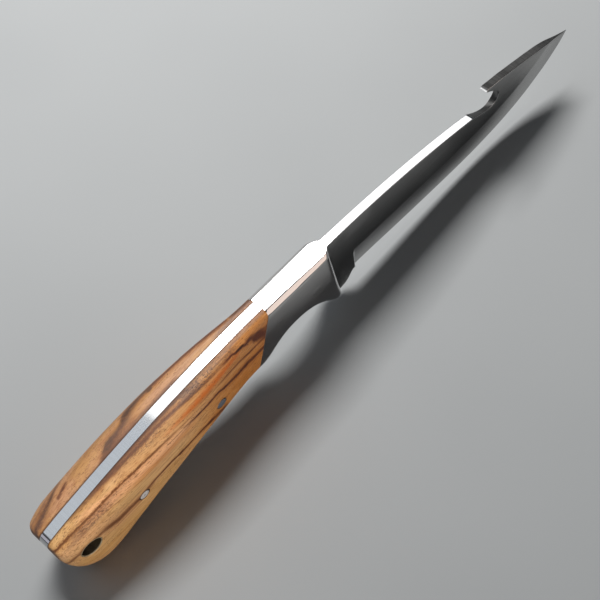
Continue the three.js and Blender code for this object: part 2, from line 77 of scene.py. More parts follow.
# ------------------------------------------------------------ design (mm)
STOCK, BOND, SEAM = 3.2, 0.05, 0.10
HALF = STOCK / 2
PIN_R, BPIN_R, TUBE_R, TUBE_BORE_R = 2.0, 1.5, 3.6, 3.2
BOLSTER_HALF, BEVEL_END = 4.45, 0.12
PIN_FRONT, PIN_REAR, THONG = (-53.0, -16.45), (-86.8, -18.5), (-106.7, -18.3)
BOLSTER_PINS = ((-24.0, -8.5), (-8.0, -12.5))
BACK = [(-113.4, -12.75), (-108.3, -11.1), (-102.2, -9.5), (-96.1, -8.0), (-89.9, -6.6),
        (-83.6, -5.3), (-77.3, -4.1), (-70.9, -3.0), (-64.4, -2.1), (-57.8, -1.35), (-51.0, -0.7),
        (-44.1, -0.2), (-37.1, 0.15), (-30.0, 0.33), (-22.0, 0.35), (-12.0, 0.25), (0.0, 0.0),
        (7.4, -0.25), (12.9, -0.45), (18.5, -0.75), (24.2, -1.15), (30.1, -1.65), (36.2, -2.3),
        (42.4, -3.05), (48.8, -3.95), (55.5, -5.0), (62.3, -6.2), (69.5, -7.6), (75.4, -8.9)]
HOOK = [(75.4, -8.9), (78.2, -10.05), (81.6, -11.3), (84.6, -12.1), (86.9, -12.25), (88.7, -11.45),
        (89.7, -9.9), (89.7, -8.3), (88.7, -6.6), (87.0, -5.0), (85.0, -3.55), (83.1, -2.3), (81.5, -1.35)]
BEAK = [(81.1, -0.95), (82.2, -0.25)]
HOOK_BEVEL = [0, 0.6, 1.25, 1.7, 1.8, 1.5, 1.1, 0.7, 0.35, 0.15, 0.05, 0, 0]
POINT_TOP = [(82.2, -0.25), (87.4, -1.15), (91.1, -1.75), (95.0, -2.6), (98.9, -3.4), (102.9, -4.3),
             (107.0, -5.2), (111.2, -6.2), (115.8, -7.4), (120.0, -8.7), (125.0, -10.4), (130.0, -12.1),
             (134.0, -13.4)]
EDGE = [(16.2, -29.5), (23.6, -29.9), (29.8, -30.35), (36.1, -30.85), (42.5, -31.3), (48.9, -31.75),
        (55.4, -32.1), (62.0, -32.45), (69.0, -32.75), (75.6, -32.9), (82.2, -32.85), (88.8, -32.5),
        (95.4, -31.85), (101.7, -30.85), (107.7, -29.45), (113.4, -27.6), (118.8, -25.2), (123.9, -22.5),
        (128.6, -19.2), (131.7, -16.4), (134.0, -13.4)]
GRIND = [(12.0, -16.6), (20.0, -17.35), (29.0, -17.75), (41.0, -18.4), (53.0, -18.9), (66.0, -19.4),
         (79.0, -19.45), (89.0, -18.85), (98.0, -17.4), (104.0, -15.9), (110.0, -13.6), (116.0, -11.0),
         (121.0, -9.3)]
CHOIL = [(16.2, -29.5), (15.0, -28.5), (13.6, -28.3), (12.0, -29.9), (10.4, -31.6), (8.6, -32.3), (6.6, -32.5)]
GROOVE = [(6.6, -32.5), (4.6, -32.4), (2.4, -31.5), (0.2, -29.7), (-2.6, -26.7), (-5.4, -24.2), (-8.6, -22.0),
          (-12.8, -20.3), (-17.2, -19.7), (-21.2, -20.2), (-24.8, -21.9), (-28.2, -24.4), (-31.4, -25.9),
          (-34.8, -26.0)]
BELLY = [(-34.8, -26.0), (-39.0, -25.4), (-44.0, -25.0), (-50.0, -25.0), (-57.0, -25.7), (-64.0, -26.8),
         (-70.7, -28.1), (-77.4, -29.6), (-84.0, -31.4), (-90.5, -33.6), (-96.5, -35.9), (-101.5, -37.1)]
BUTT = [(-101.5, -37.1), (-104.8, -37.0), (-108.2, -35.5), (-111.1, -32.4), (-113.0, -28.4), (-114.2, -23.8),
        (-114.9, -19.0), (-115.05, -15.6), (-114.8, -14.2), (-114.2, -13.25), (-113.4, -12.75)]
SEAM_TOP, SEAM_BOTTOM = (-28.2, 0.34), (-34.8, -26.0)
FRONT_TOP, FRONT_BOTTOM = (0.0, 0.0), (6.6, -32.5)
POINT_HALF = [(112, 1.358), (116.5, 1.31), (120.5, 1.12), (124, 0.82), (127.5, 0.52), (131, 0.28), (134, 0.12)]
WIDTH = [(-116, 9.55), (-106, 9.6), (-97, 9.55), (-87, 9.4), (-80, 9.15), (-71, 8.7), (-63, 8.1), (-55, 7.35),
         (-47, 6.4), (-40, 5.4), (-34, 4.7), (-28, 4.45)]
ROUND_BACK = [(-116, 5.0, 5.0), (-95, 4.7, 5.0), (-80, 4.4, 4.8), (-60, 3.8, 3.9), (-45, 2.7, 2.7),
              (-34, 1.8, 1.8), (-28, 1.6, 1.55)]
ROUND_BELLY = [(-116, 7.0, 5.4), (-95, 6.4, 5.2), (-80, 6.0, 5.0), (-60, 5.0, 4.2), (-45, 3.6, 3.0),
               (-34, 2.1, 1.9), (-28, 1.8, 1.6)]
ROUND_BUTT = (8.5, 4.7)


# ---------------------------------------------------------------- curves
def natural_spline(t, v):
    t, v = np.asarray(t, float), np.asarray(v, float)
    n = len(t)
    h = np.diff(t)
    A = np.zeros((n, n))
    r = np.zeros(n)
    A[0, 0] = A[-1, -1] = 1
    for i in range(1, n - 1):
        A[i, i - 1], A[i, i], A[i, i + 1] = h[i - 1], 2 * (h[i - 1] + h[i]), h[i]
        r[i] = 6 * ((v[i + 1] - v[i]) / h[i] - (v[i] - v[i - 1]) / h[i - 1])
    m = np.linalg.solve(A, r)

    def f(x):
        x = np.asarray(x, float)
        i = np.clip(np.searchsorted(t, x, side="left") - 1, 0, n - 2)
        a, b = (t[i + 1] - x) / h[i], (x - t[i]) / h[i]
        return a * v[i] + b * v[i + 1] + ((a ** 3 - a) * m[i] + (b ** 3 - b) * m[i + 1]) * h[i] ** 2 / 6
    return f


def path_through(points):
    p = np.array(points, float)
    s = np.concatenate([[0], np.cumsum(np.hypot(*np.diff(p, axis=0).T))])
    fx, fz = natural_spline(s, p[:, 0]), natural_spline(s, p[:, 1])
    return lambda u: np.stack([fx(np.asarray(u) * s[-1]), fz(np.asarray(u) * s[-1])], -1)


def spline_of(table, col=1):
    return natural_spline([r[0] for r in table], [r[col] for r in table])


def lookup(table, x, col=1):
    return np.interp(x, [r[0] for r in table], [r[col] for r in table])


back_z, width_at, grind_z, point_top_z = spline_of(BACK), spline_of(WIDTH), spline_of(GRIND), spline_of(POINT_TOP)
edge_z = spline_of(EDGE[:-1])
groove_path, belly_path, butt_path = path_through(GROOVE), path_through(BELLY), path_through(BUTT)
edge_path, hook_path, point_path, choil_path = path_through(EDGE), path_through(HOOK), path_through(POINT_TOP), path_through(CHOIL)


def back_path(x0, x1):
    return lambda u: np.stack([x0 + (x1 - x0) * np.asarray(u), back_z(x0 + (x1 - x0) * np.asarray(u))], -1)


def sampled(path, n):
    return path(np.linspace(0, 1, n + 1))


def smoothstep(x, a, b):
    t = np.clip((np.asarray(x, float) - a) / (b - a), 0, 1)
    return t * t * (3 - 2 * t)


# ------------------------------------------------- outside of the handle
def butt_mix(x, table, x0, x1):
    k = smoothstep(-x, -x0, -x1)
    return ((1 - k) * lookup(table, x, 1) + k * ROUND_BUTT[0], (1 - k) * lookup(table, x, 2) + k * ROUND_BUTT[1])


def _handle_outline():
    rows = []
    p = sampled(back_path(-20, -113.4), 220)
    rows.append(np.column_stack([p, *butt_mix(p[:, 0], ROUND_BACK, -109, -114.5)]))
    p = sampled(butt_path, 160)[::-1][1:]
    a = np.column_stack(butt_mix(p[:, 0], ROUND_BACK, -109, -114.5))
    b = np.column_stack(butt_mix(p[:, 0], ROUND_BELLY, -98, -112))
    k = smoothstep(p[:, 1], -24, -19)[:, None]
    rows.append(np.column_stack([p, b + k * (a - b)]))
    p = sampled(belly_path, 160)[::-1][1:]
    rows.append(np.column_stack([p, lookup(ROUND_BELLY, p[:, 0], 1), lookup(ROUND_BELLY, p[:, 0], 2)]))
    p = sampled(groove_path, 90)[::-1][1:34]
    rows.append(np.column_stack([p, lookup(ROUND_BELLY, p[:, 0], 1), lookup(ROUND_BELLY, p[:, 0], 2)]))
    return np.vstack(rows)


HANDLE_OUTLINE = _handle_outline()


def nearest(outline, q):
    """distance from points q to the outline, with the rounding that holds there"""
    a, b = outline[:-1, :2], outline[1:, :2]
    d = b - a
    L2 = (d ** 2).sum(1)
    out_d, out_r = np.empty(len(q)), np.empty((len(q), outline.shape[1] - 2))
    for s in range(0, len(q), 4000):
        p = q[s:s + 4000]
        k = np.clip(((p[:, None] - a) * d).sum(2) / L2, 0, 1)
        dist = np.hypot(*np.moveaxis(p[:, None] - a - k[..., None] * d, 2, 0))
        i = dist.argmin(1)
        r = np.arange(len(p))
        out_d[s:s + 4000] = dist[r, i]
        kk = k[r, i][:, None]
        out_r[s:s + 4000] = (1 - kk) * outline[i, 2:] + kk * outline[i + 1, 2:]
    return out_d, out_r


def soft_nearest(outline, q):
    """the same, but without the creases that a plain distance has inside corners"""
    d0, r0 = nearest(outline, q)
    mid = (outline[1:] + outline[:-1]) / 2
    seg = np.hypot(*(outline[1:, :2] - outline[:-1, :2]).T)
    d1, r1 = np.empty_like(d0), np.empty_like(r0)
    B = 5 * np.pi / 16
    for s in range(0, len(q), 4000):
        p = q[s:s + 4000]
        w = seg / np.maximum(((p[:, None] - mid[:, :2]) ** 2).sum(2), 0.25) ** 4
        phi = w.sum(1)
        d1[s:s + 4000] = (B / phi) ** (1 / 7)
        r1[s:s + 4000] = (w[..., None] * mid[:, 2:]).sum(1) / phi[:, None]
    k = smoothstep(d0, 0.8, 2.4)
    return d0 + k * (d1 - d0), r0 + k[:, None] * (r1 - r0)


def round_off(t, power=2.0):
    t = np.clip(t, 0, 1)
    return 1 - (1 - t ** power) ** (1 / power)


def handle_face(q):
    """outside half width of the handle at points (x, z)"""
    q = np.atleast_2d(np.asarray(q, float))
    d, r = soft_nearest(HANDLE_OUTLINE, q)
    x = q[:, 0]
    low = np.interp(x, HANDLE_LOW[:, 0], HANDLE_LOW[:, 1])
    top = np.where(x < -113.4, -12.75, back_z(np.maximum(x, -113.4)))
    v = np.clip((q[:, 1] - low) / (top - low), 0, 1)
    y = width_at(x) - 0.35 * (2 * v - 1) ** 2 - r[:, 1] * round_off(1 - d / r[:, 0])
    return np.maximum(HALF + 0.6, y)


_low = np.vstack([sampled(butt_path, 100)[:60][::-1], sampled(belly_path, 100)[::-1][1:], sampled(groove_path, 60)[::-1][1:]])
HANDLE_LOW = _low[np.argsort(_low[:, 0])]


# ---------------------------------------------------------- mesh building
def offset_of():
    """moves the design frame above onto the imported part's frame"""
    low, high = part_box("blade")
    return np.array([high.x * 1000 - 134.0, 0.0, high.z * 1000 - TOP_Z])


def normals2d(loop):
    """unit normals of a closed loop, pointing out"""
    t = np.roll(loop, -1, 0) - np.roll(loop, 1, 0)
    n = np.column_stack([t[:, 1], -t[:, 0]])
    n /= np.maximum(np.hypot(*n.T)[:, None], 1e-9)
    area = 0.5 * np.sum(loop[:, 0] * np.roll(loop[:, 1], -1) - np.roll(loop[:, 0], -1) * loop[:, 1])
    return n if area > 0 else -n


def even(points, step, keep_corner=30):
    """a polyline with points about step apart"""
    p = np.asarray(points, float)
    s = np.concatenate([[0], np.cumsum(np.hypot(*np.diff(p, axis=0).T))])
    n = max(1, int(round(s[-1] / step)))
    t = np.linspace(0, s[-1], n + 1)
    return np.column_stack([np.interp(t, s, p[:, 0]), np.interp(t, s, p[:, 1])])


def inside(loop, q):
    """which points lie inside a closed loop"""
    a, b = loop, np.roll(loop, -1, 0)
    out = np.zeros(len(q), bool)
    for s in range(0, len(q), 3000):
        p = q[s:s + 3000]
        up = (a[:, 1] > p[:, 1:2]) != (b[:, 1] > p[:, 1:2])
        dy = np.where(np.abs(b[:, 1] - a[:, 1]) < 1e-12, 1e-12, b[:, 1] - a[:, 1])
        xi = a[:, 0] + (p[:, 1:2] - a[:, 1]) * (b[:, 0] - a[:, 0]) / dy
        out[s:s + 3000] = (up & (p[:, 0:1] < xi)).sum(1) % 2 == 1
    return out


def distance(loop, q):
    closed = np.vstack([loop, loop[:1]])
    d, _ = nearest(np.column_stack([closed, np.zeros(len(closed))]), q)
    return d


def circle(c, r, n=48):
    a = np.linspace(0, 2 * np.pi, n, endpoint=False)
    return np.column_stack([c[0] + r * np.cos(a), c[1] + r * np.sin(a)])


def triangulate(loops, lines, free):
    """Triangles over the space inside loops[0] and outside the other loops. lines are open polylines that stay edges.
    Returns points, triangles, the index of every loop's points, and the same for the lines."""
    pts, edges, where = [], [], []
    for closed, group in [(True, g) for g in loops] + [(False, g) for g in lines]:
        i0 = len(pts)
        pts += [tuple(p) for p in group]
        n = len(group)
        edges += [(i0 + k, i0 + (k + 1) % n) for k in range(n if closed else n - 1)]
        where.append(np.arange(i0, i0 + n))
    pts += [tuple(p) for p in free]
    out = delaunay_2d_cdt([Vector(p) for p in pts], edges, [], 0, 1e-6)
    v = np.array([(p.x, p.y) for p in out[0]])
    tri = np.array([f for f in out[2] if len(f) == 3], int)
    back = np.full(len(pts), -1)
    for new, olds in enumerate(out[3]):
        for o in olds:
            back[o] = new
    mid = v[tri].mean(1)
    keep = inside(np.asarray(loops[0]), mid)
    for hole in loops[1:]:
        keep &= ~inside(np.asarray(hole), mid)
    tri = tri[keep]
    a, b, c = v[tri[:, 0]], v[tri[:, 1]], v[tri[:, 2]]
    turn = (b[:, 0] - a[:, 0]) * (c[:, 1] - a[:, 1]) - (b[:, 1] - a[:, 1]) * (c[:, 0] - a[:, 0])
    tri[turn < 0] = tri[turn < 0][:, ::-1]
    where = [back[w] for w in where]
    return v, tri[np.abs(turn) > 1e-9], where[:len(loops)], where[len(loops):]


class Build:
    """Collects vertices and faces in the design frame, in mm."""

    def __init__(self):
        self.v, self.f, self.sharp = [], [], set()

    def add(self, pts):
        i = len(self.v)
        self.v += [tuple(map(float, p)) for p in pts]
        return np.arange(i, i + len(pts))

    def faces(self, rows, flip=False):
        self.f += [tuple(int(i) for i in (r[::-1] if flip else r)) for r in rows]

    def strip(self, a, b, flip=False, closed=True):
        n = len(a)
        rows = [(a[k], a[(k + 1) % n], b[(k + 1) % n], b[k]) for k in range(n if closed else n - 1)]
        self.faces(rows, flip)

    def mark(self, a, b):
        self.sharp.add((min(int(a), int(b)), max(int(a), int(b))))

    def mark_loop(self, loop, closed=True):
        n = len(loop)
        for k in range(n if closed else n - 1):
            self.mark(loop[k], loop[(k + 1) % n])

    def done(self, name, material, node, angle=None):
        v = np.clip((np.array(self.v) + OFFSET) / 1000.0, CAD_BOX[0], CAD_BOX[1])
        mesh = bpy.data.meshes.new(name)
        mesh.from_pydata([tuple(p) for p in v], [], self.f)
        mesh.validate()
        bm = bmesh.new()
        bm.from_mesh(mesh)
        bmesh.ops.recalc_face_normals(bm, faces=bm.faces)
        for f in bm.faces:
            f.smooth = True
        bm.edges.ensure_lookup_table()
        for e in bm.edges:
            k = (min(e.verts[0].index, e.verts[1].index), max(e.verts[0].index, e.verts[1].index))
            if k in self.sharp:
                e.smooth = False
            elif angle and len(e.link_faces) == 2 and e.calc_face_angle(0) > angle:
                e.smooth = False
        bm.to_mesh(mesh)
        bm.free()
        obj = bpy.data.objects.new(name, mesh)
        bpy.context.scene.collection.objects.link(obj)
        mesh.materials.append(material)
        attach(obj, "root")
        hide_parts(node)
        return obj


RIM_STEPS = [0.011, 0.043, 0.1, 0.17, 0.27, 0.38, 0.52, 0.67, 0.84, 1.03, 1.25, 1.48]


def slab(name, node, material, loop, face, y_in, side, holes, step, rims=RIM_STEPS, corners=(), mouth=0.0):
    """A closed body on one side of the tang: flat inside face at y_in, outside face at y = face(x, z)."""
    loop = np.asarray(loop, float)
    nrm = normals2d(loop)
    free = []
    for d in rims:
        q = loop - nrm * d
        q = q[inside(loop, q)]
        q = q[distance(loop, q) > 0.93 * d]
        free.append(q)
    lo, hi = loop.min(0), loop.max(0)
    gx, gz = np.meshgrid(np.arange(lo[0], hi[0], step), np.arange(lo[1], hi[1], step * 0.9))
    gx = gx + (np.arange(gx.shape[0]) % 2)[:, None] * step * 0.5
    q = np.column_stack([gx.ravel(), gz.ravel()])
    q = q[inside(loop, q)]
    q = q[distance(loop, q) > rims[-1] + step * 0.45]
    free.append(q)
    free = np.vstack(free)
    rings = []
    for (c, r) in holes:
        free = free[np.hypot(free[:, 0] - c[0], free[:, 1] - c[1]) > r + 0.35 + mouth]
        rings.append(circle(c, r + mouth))
    v, tri, where, _ = triangulate([loop] + rings, [], free)
    b = Build()
    top = b.add(np.column_stack([v[:, 0], side * face(v), v[:, 1]]))
    b.faces([top[t] for t in tri])
    flat_rings = [circle(c, r) for c, r in holes]
    v2, tri2, where2, _ = triangulate([loop] + flat_rings, [], np.zeros((0, 2)))
    low = b.add(np.column_stack([v2[:, 0], np.full(len(v2), side * y_in), v2[:, 1]]))
    b.faces([low[t] for t in tri2], True)
    rim = top[where[0]]
    wall = b.add(np.column_stack([v[where[0], 0], side * np.maximum(y_in + 0.02, face(v[where[0]]) - 0.06), v[where[0], 1]]))
    b.strip(rim, wall)
    b.strip(wall, low[where2[0]])
    b.mark_loop(low[where2[0]])
    for k, (c, r) in enumerate(holes):
        outer = top[where[k + 1]]
        if mouth:
            ring = circle(c, r)
            inner = b.add(np.column_stack([ring[:, 0], side * (face(ring) - mouth), ring[:, 1]]))
            b.strip(outer, inner)
            b.strip(inner, low[where2[k + 1]])
        else:
            b.strip(outer, low[where2[k + 1]])
            b.mark_loop(outer)
        b.mark_loop(low[where2[k + 1]])
    for i in corners:
        b.mark(rim[i], wall[i])
        b.mark(wall[i], low[where2[0][i]])
    return b.done(name, material, node)


# ---------------------------------------------------------- wooden scales
def scale_loop():
    seam = np.array([SEAM_TOP, SEAM_BOTTOM]) - [SEAM, 0]
    top = even(back_path(seam[0, 0], -113.4)(np.linspace(0, 1, 400)), 0.55)
    butt = even(butt_path(np.linspace(0, 1, 300))[::-1], 0.3)
    belly = even(belly_path(np.linspace(0, 1, 300))[::-1], 0.55)
    belly[-1] = seam[1]
    end = even(np.array([seam[1], top[0]]), 0.6)
    loop = np.vstack([top[:-1], butt[:-1], belly[:-1], end[:-1]])
    return loop, [0, len(top) - 1 + len(butt) - 1 + len(belly) - 1]


def make_scale(side, material):
    name = "scale_left" if side > 0 else "scale_right"
    loop, corners = scale_loop()
    holes = [(PIN_FRONT, PIN_R + 0.03), (PIN_REAR, PIN_R + 0.03), (THONG, TUBE_R + 0.03)]
    return slab(name + "_wood", name, material, loop, handle_face, HALF + BOND, side, holes, 0.95,
                corners=corners, mouth=0.06)


# --------------------------------------------------------------- bolsters
def bolster_face(q):
    q = np.atleast_2d(np.asarray(q, float))
    x, z = q[:, 0], q[:, 1]
    back = np.column_stack([back_path(-40, 4)(np.linspace(0, 1, 160)), np.zeros(161 - 1)])
    under = np.vstack([groove_path(np.linspace(0, 1, 220)), belly_path(np.linspace(0, 0.2, 40))[1:]])
    under = np.column_stack([under, np.zeros(len(under))])
    da, _ = nearest(back, q)
    db, _ = nearest(under, q)
    crown = 0.10 * ((z + 13) / 13) ** 2
    reach = 1.20 + 0.45 * smoothstep(-x, 1.0, 26.0)
    full = BOLSTER_HALF - crown - (reach + 0.05) * round_off(1 - da / reach, 1.16) - 1.5 * round_off(1 - db / 1.9, 1.9)
    length = np.hypot(*FRONT_BOTTOM)
    d = np.maximum(0, (x * FRONT_BOTTOM[1] - z * FRONT_BOTTOM[0]) / length)
    rise = 1 - round_off(1 - d / 3.2, 1.5)
    base = HALF + BOND + 0.10
    return base + (full - base) * rise


def make_bolster(side, material):
    name = "bolster_left" if side > 0 else "bolster_right"
    top = even(back_path(SEAM_TOP[0], 0.0)(np.linspace(0, 1, 200)), 0.4)
    front = even(np.array([FRONT_TOP, FRONT_BOTTOM]), 0.4)
    under = even(groove_path(np.linspace(0, 1, 400)), 0.35)
    end = even(np.array([SEAM_BOTTOM, SEAM_TOP]), 0.5)
    loop = np.vstack([top[:-1], front[:-1], under[:-1], end[:-1]])
    i = np.cumsum([0, len(top) - 1, len(front) - 1, len(under) - 1])
    holes = [(p, BPIN_R + 0.012) for p in BOLSTER_PINS]
    return slab(name + "_steel", name, material, loop, bolster_face, HALF + 0.004, side, holes, 0.8,
                corners=list(i))


# ------------------------------------------------------------------ blade
GRIND_FULL = GRIND + [(125.5, -10.0), (130.0, -11.6), (134.0, -13.1)]
grind_full = spline_of(GRIND_FULL)
TIP_HALF = [(100, 1.41)] + POINT_HALF
tip_half = spline_of([(96, 1.395), (104, 1.3765), (112, 1.358), (116.5, 1.30), (120.5, 1.12), (124, 0.83), (127.5, 0.52),
                      (131, 0.26), (134, 0.07)])
EDGE_HALF = 0.035


def flat_half(x):
    x = np.asarray(x, float)
    h = HALF - 0.002 - 0.24 * (x - 8) / 104
    h = np.where(x > 104, tip_half(np.clip(x, 96, 134)), h)
    return np.minimum(HALF, h)


def plunge_x(z):
    t = np.clip((-16.7 - z) / 12.8, 0, 1.3)
    return 12.9 + 1.8 * t


def edge_height(x):
    x = np.asarray(x, float)
    return np.where(x < 128.6, edge_z(np.clip(x, 16.2, 131.7)),
                    np.interp(x, EDGE_TAIL[:, 0], EDGE_TAIL[:, 1]))


EDGE_TAIL = edge_path(np.linspace(0.9, 1, 80))


def blade_face(q):
    """half thickness of the blade at points (x, z)"""
    q = np.atleast_2d(np.asarray(q, float))
    x, z = q[:, 0], q[:, 1]
    flat = flat_half(x)
    gz, ez = grind_full(np.clip(x, 12, 134)), edge_height(x)
    t = np.clip((gz - z) / np.maximum(gz - ez, 0.05), 0, 1)
    bevel = flat + (EDGE_HALF - flat) * t
    # the bevel comes in over 0.8 mm past the plunge line
    k = smoothstep(x - plunge_x(z), 0.0, 0.8)
    h = flat - k * (flat - bevel)
    return np.where(x < 10, HALF, np.maximum(h, EDGE_HALF * 0.9))


def blade_loop():
    """outline of the right face, of the left face, and where its corners are"""
    parts = [even(back_path(-113.4, 75.4)(np.linspace(0, 1, 900)), 0.6)]
    u = np.linspace(0, 1, 60)
    hook = hook_path(u)
    parts.append(hook)
    parts.append(np.array([HOOK[-1], BEAK[0], BEAK[1]]))
    parts.append(even(point_path(np.linspace(0, 1, 300)), 0.5))
    parts.append(even(edge_path(np.linspace(0, 1, 500))[::-1], 0.5))
    parts.append(even(choil_path(np.linspace(0, 1, 120)), 0.3))
    parts.append(even(groove_path(np.linspace(0, 1, 300)), 0.5))
    parts.append(even(belly_path(np.linspace(0, 1, 300)), 0.7))
    parts.append(even(butt_path(np.linspace(0, 1, 300)), 0.35))
    right = np.vstack([p[:-1] for p in parts])
    n = np.cumsum([0] + [len(p) - 1 for p in parts])
    left = right.copy()
    # the left side of the hook's notch is ground deeper
    s = np.concatenate([[0], np.cumsum(np.hypot(*np.diff(np.array(HOOK), axis=0).T))])
    depth = np.maximum(0, natural_spline(s, HOOK_BEVEL)(u * s[-1]))[:-1]
    t = np.gradient(hook, axis=0)[:-1]
    t /= np.hypot(*t.T)[:, None]
    left[n[1]:n[2]] += np.column_stack([t[:, 1], -t[:, 0]]) * depth[:, None]
    return right, left, n


def make_blade(material):
    right, left, n = blade_loop()
    count = len(right)
    hidden = (right[:, 0] < 0.5)
    edge = np.zeros(count, bool)
    edge[n[4]:n[5] + 1] = True
    radius = np.where(hidden, 0.01, 0.13)
    radius[n[1]:n[3]] = 0.07
    radius[n[3]:n[4]] = np.minimum(0.26, 0.35 * flat_half(right[n[3]:n[4], 0]))
    radius[edge] = 0.004
    holes = [(PIN_FRONT, PIN_R + 0.03), (PIN_REAR, PIN_R + 0.03), (THONG, TUBE_R + 0.03),
             (BOLSTER_PINS[0], BPIN_R + 0.02), (BOLSTER_PINS[1], BPIN_R + 0.02)]
    b = Build()
    sides = {}
    for side, loop in ((-1, right), (1, left)):
        inner = loop - normals2d(loop) * radius[:, None]
        gx = np.arange(12.4, 121.0, 0.8)
        line = np.column_stack([gx, grind_full(gx)])
        line = line[line[:, 1] < point_top_z(np.clip(gx, 82.2, 134)) - 0.25]
        free = []
        for x0, x1, z0, z1, sx, sz in ((9.5, 22, -31.5, -14.5, 0.35, 0.5), (22, 133.5, -33, -0.2, 1.3, 1.1),
                                       (-112, 9, -36, -0.3, 4.0, 3.0), (75, 92, -15, -1, 0.6, 0.6)):
            a, c = np.meshgrid(np.arange(x0, x1, sx), np.arange(z0, z1, sz))
            free.append(np.column_stack([a.ravel(), c.ravel()]))
        free = np.vstack(free)
        free = free[inside(inner, free)]
        free = free[distance(inner, free) > 0.3]
        free = free[np.min(np.hypot(free[:, None, 0] - line[None, ::2, 0], free[:, None, 1] - line[None, ::2, 1]), 1) > 0.45]
        for c, r in holes:
            free = free[np.hypot(free[:, 0] - c[0], free[:, 1] - c[1]) > r + 0.4]
        v, tri, where, lines = triangulate([inner] + [circle(c, r) for c, r in holes], [line], free)
        y = blade_face(v)
        idx = b.add(np.column_stack([v[:, 0], side * y, v[:, 1]]))
        b.faces([idx[t] for t in tri], side > 0)
        b.mark_loop(idx[lines[0]], False)
        sides[side] = (idx, where, inner, loop, y)
    # rim: rounded corner, flat across, rounded corner
    rows = []
    for side in (-1, 1):
        idx, where, inner, loop, y = sides[side]
        h = y[where[0]]
        nrm = normals2d(loop)
        chain = [idx[where[0]]]
        for a in (22, 45, 68, 90):
            ca, sa = np.cos(np.radians(a)), np.sin(np.radians(a))
            out = inner + nrm * (radius * sa)[:, None]
            chain.append(b.add(np.column_stack([out[:, 0], side * (h - radius * (1 - ca)), out[:, 1]])))
        # a last loop on the flat, so that the rounding's shading stays on the rounding
        out = inner + nrm * radius[:, None]
        chain.append(b.add(np.column_stack([out[:, 0], side * 0.93 * (h - radius), out[:, 1]])))
        rows.append(chain)
    order = rows[0] + rows[1][::-1]
    for a, c in zip(order[:-1], order[1:]):
        b.strip(a, c)
    turn = normals2d(right)
    prev = right - np.roll(right, 1, 0)
    nxt = np.roll(right, -1, 0) - right
    ang = np.degrees(np.abs(np.arctan2(prev[:, 0] * nxt[:, 1] - prev[:, 1] * nxt[:, 0], (prev * nxt).sum(1))))
    for i in np.where(ang > 28)[0]:
        for a, c in zip(order[:-1], order[1:]):
            b.mark(a[i], c[i])
    # the edge itself is a crease on both sides
    for side in (-1, 1):
        idx, where = sides[side][0], sides[side][1]
        loop = idx[where[0]]
        for k in range(n[4], n[5]):
            b.mark(loop[k], loop[k + 1])
        for k in np.where(hidden)[0]:
            b.mark(loop[k], loop[(k + 1) % count])
    for k in range(len(holes)):
        a, c = sides[-1][0][sides[-1][1][k + 1]], sides[1][0][sides[1][1][k + 1]]
        b.strip(a, c)
        b.mark_loop(a)
        b.mark_loop(c)
    return b.done("blade_steel", material, "blade")


# -------------------------------------------------------------- pins, tube
def turned(name, node, material, centre, profiles, n=48):
    """a body turned about y; profiles is a list of (radius, y) from one end to the other, closed on the axis or on itself"""
    b = Build()
    rings = []
    for r, y in profiles:
        if r == 0:
            rings.append(b.add([(centre[0], y, centre[1])]))
        else:
            c = circle(centre, r, n)
            rings.append(b.add(np.column_stack([c[:, 0], np.full(n, y), c[:, 1]])))
    for a, c in zip(rings[:-1], rings[1:]):
        if len(a) == 1:
            b.faces([(a[0], c[k], c[(k + 1) % n]) for k in range(n)])
        elif len(c) == 1:
            b.faces([(c[0], a[(k + 1) % n], a[k]) for k in range(n)])
        else:
            b.strip(a, c)
    if len(rings[0]) > 1:
        b.strip(rings[-1], rings[0])
    return b.done(name, material, node, angle=math.radians(40))


def make_pin(name, node, material, centre, r, half, dome=0.0, dimple=0.0, chamfer=0.05):
    right = []
    if dimple:
        right += [(0, dimple), (0.12, dimple * 0.9), (0.22, dimple * 0.45), (0.32, 0.0)]
    else:
        right += [(0, 0.0)]
    for k in np.linspace(0.35 if dimple else 0.2, 1, 7):
        q = k * (r - chamfer)
        right.append((q, dome * (q / r) ** 2))
    right.append((r - chamfer * 0.3, dome + chamfer * 0.35))
    right.append((r, dome + chamfer))
    profile = [(q, -half + d) for q, d in right] + [(q, half - d) for q, d in right[::-1]]
    return turned(name, node, material, centre, profile)


def make_tube(material):
    b = Build()
    n = 64
    a = np.linspace(0, 2 * np.pi, n, endpoint=False)
    section = [(TUBE_BORE_R, 1.2), (TUBE_BORE_R, 0.35), (TUBE_BORE_R + 0.03, 0.16), (TUBE_BORE_R + 0.10, 0.05),
               (TUBE_BORE_R + 0.19, 0.0), (TUBE_R - 0.09, 0.0), (TUBE_R - 0.02, 0.03), (TUBE_R, 0.09)]
    rings = []
    for side in (-1, 1):
        chain = []
        for r, down in (section if side < 0 else section[::-1]):
            x, z = THONG[0] + r * np.cos(a), THONG[1] + r * np.sin(a)
            y = handle_face(np.column_stack([THONG[0] + TUBE_R * np.cos(a), THONG[1] + TUBE_R * np.sin(a)])) - 0.02 - down
            chain.append(b.add(np.column_stack([x, side * y, z])))
        rings += chain
    for p, q in zip(rings[:-1], rings[1:]):
        b.strip(p, q)
    b.strip(rings[-1], rings[0])
    return b.done("thong_tube_metal", material, "thong_tube", angle=math.radians(50))


# ------------------------------------------------------------- materials
def srgb(r, g, b):
    return tuple(((c / 255 + 0.055) / 1.055) ** 2.4 if c > 10 else c / 255 / 12.92 for c in (r, g, b)) + (1.0,)


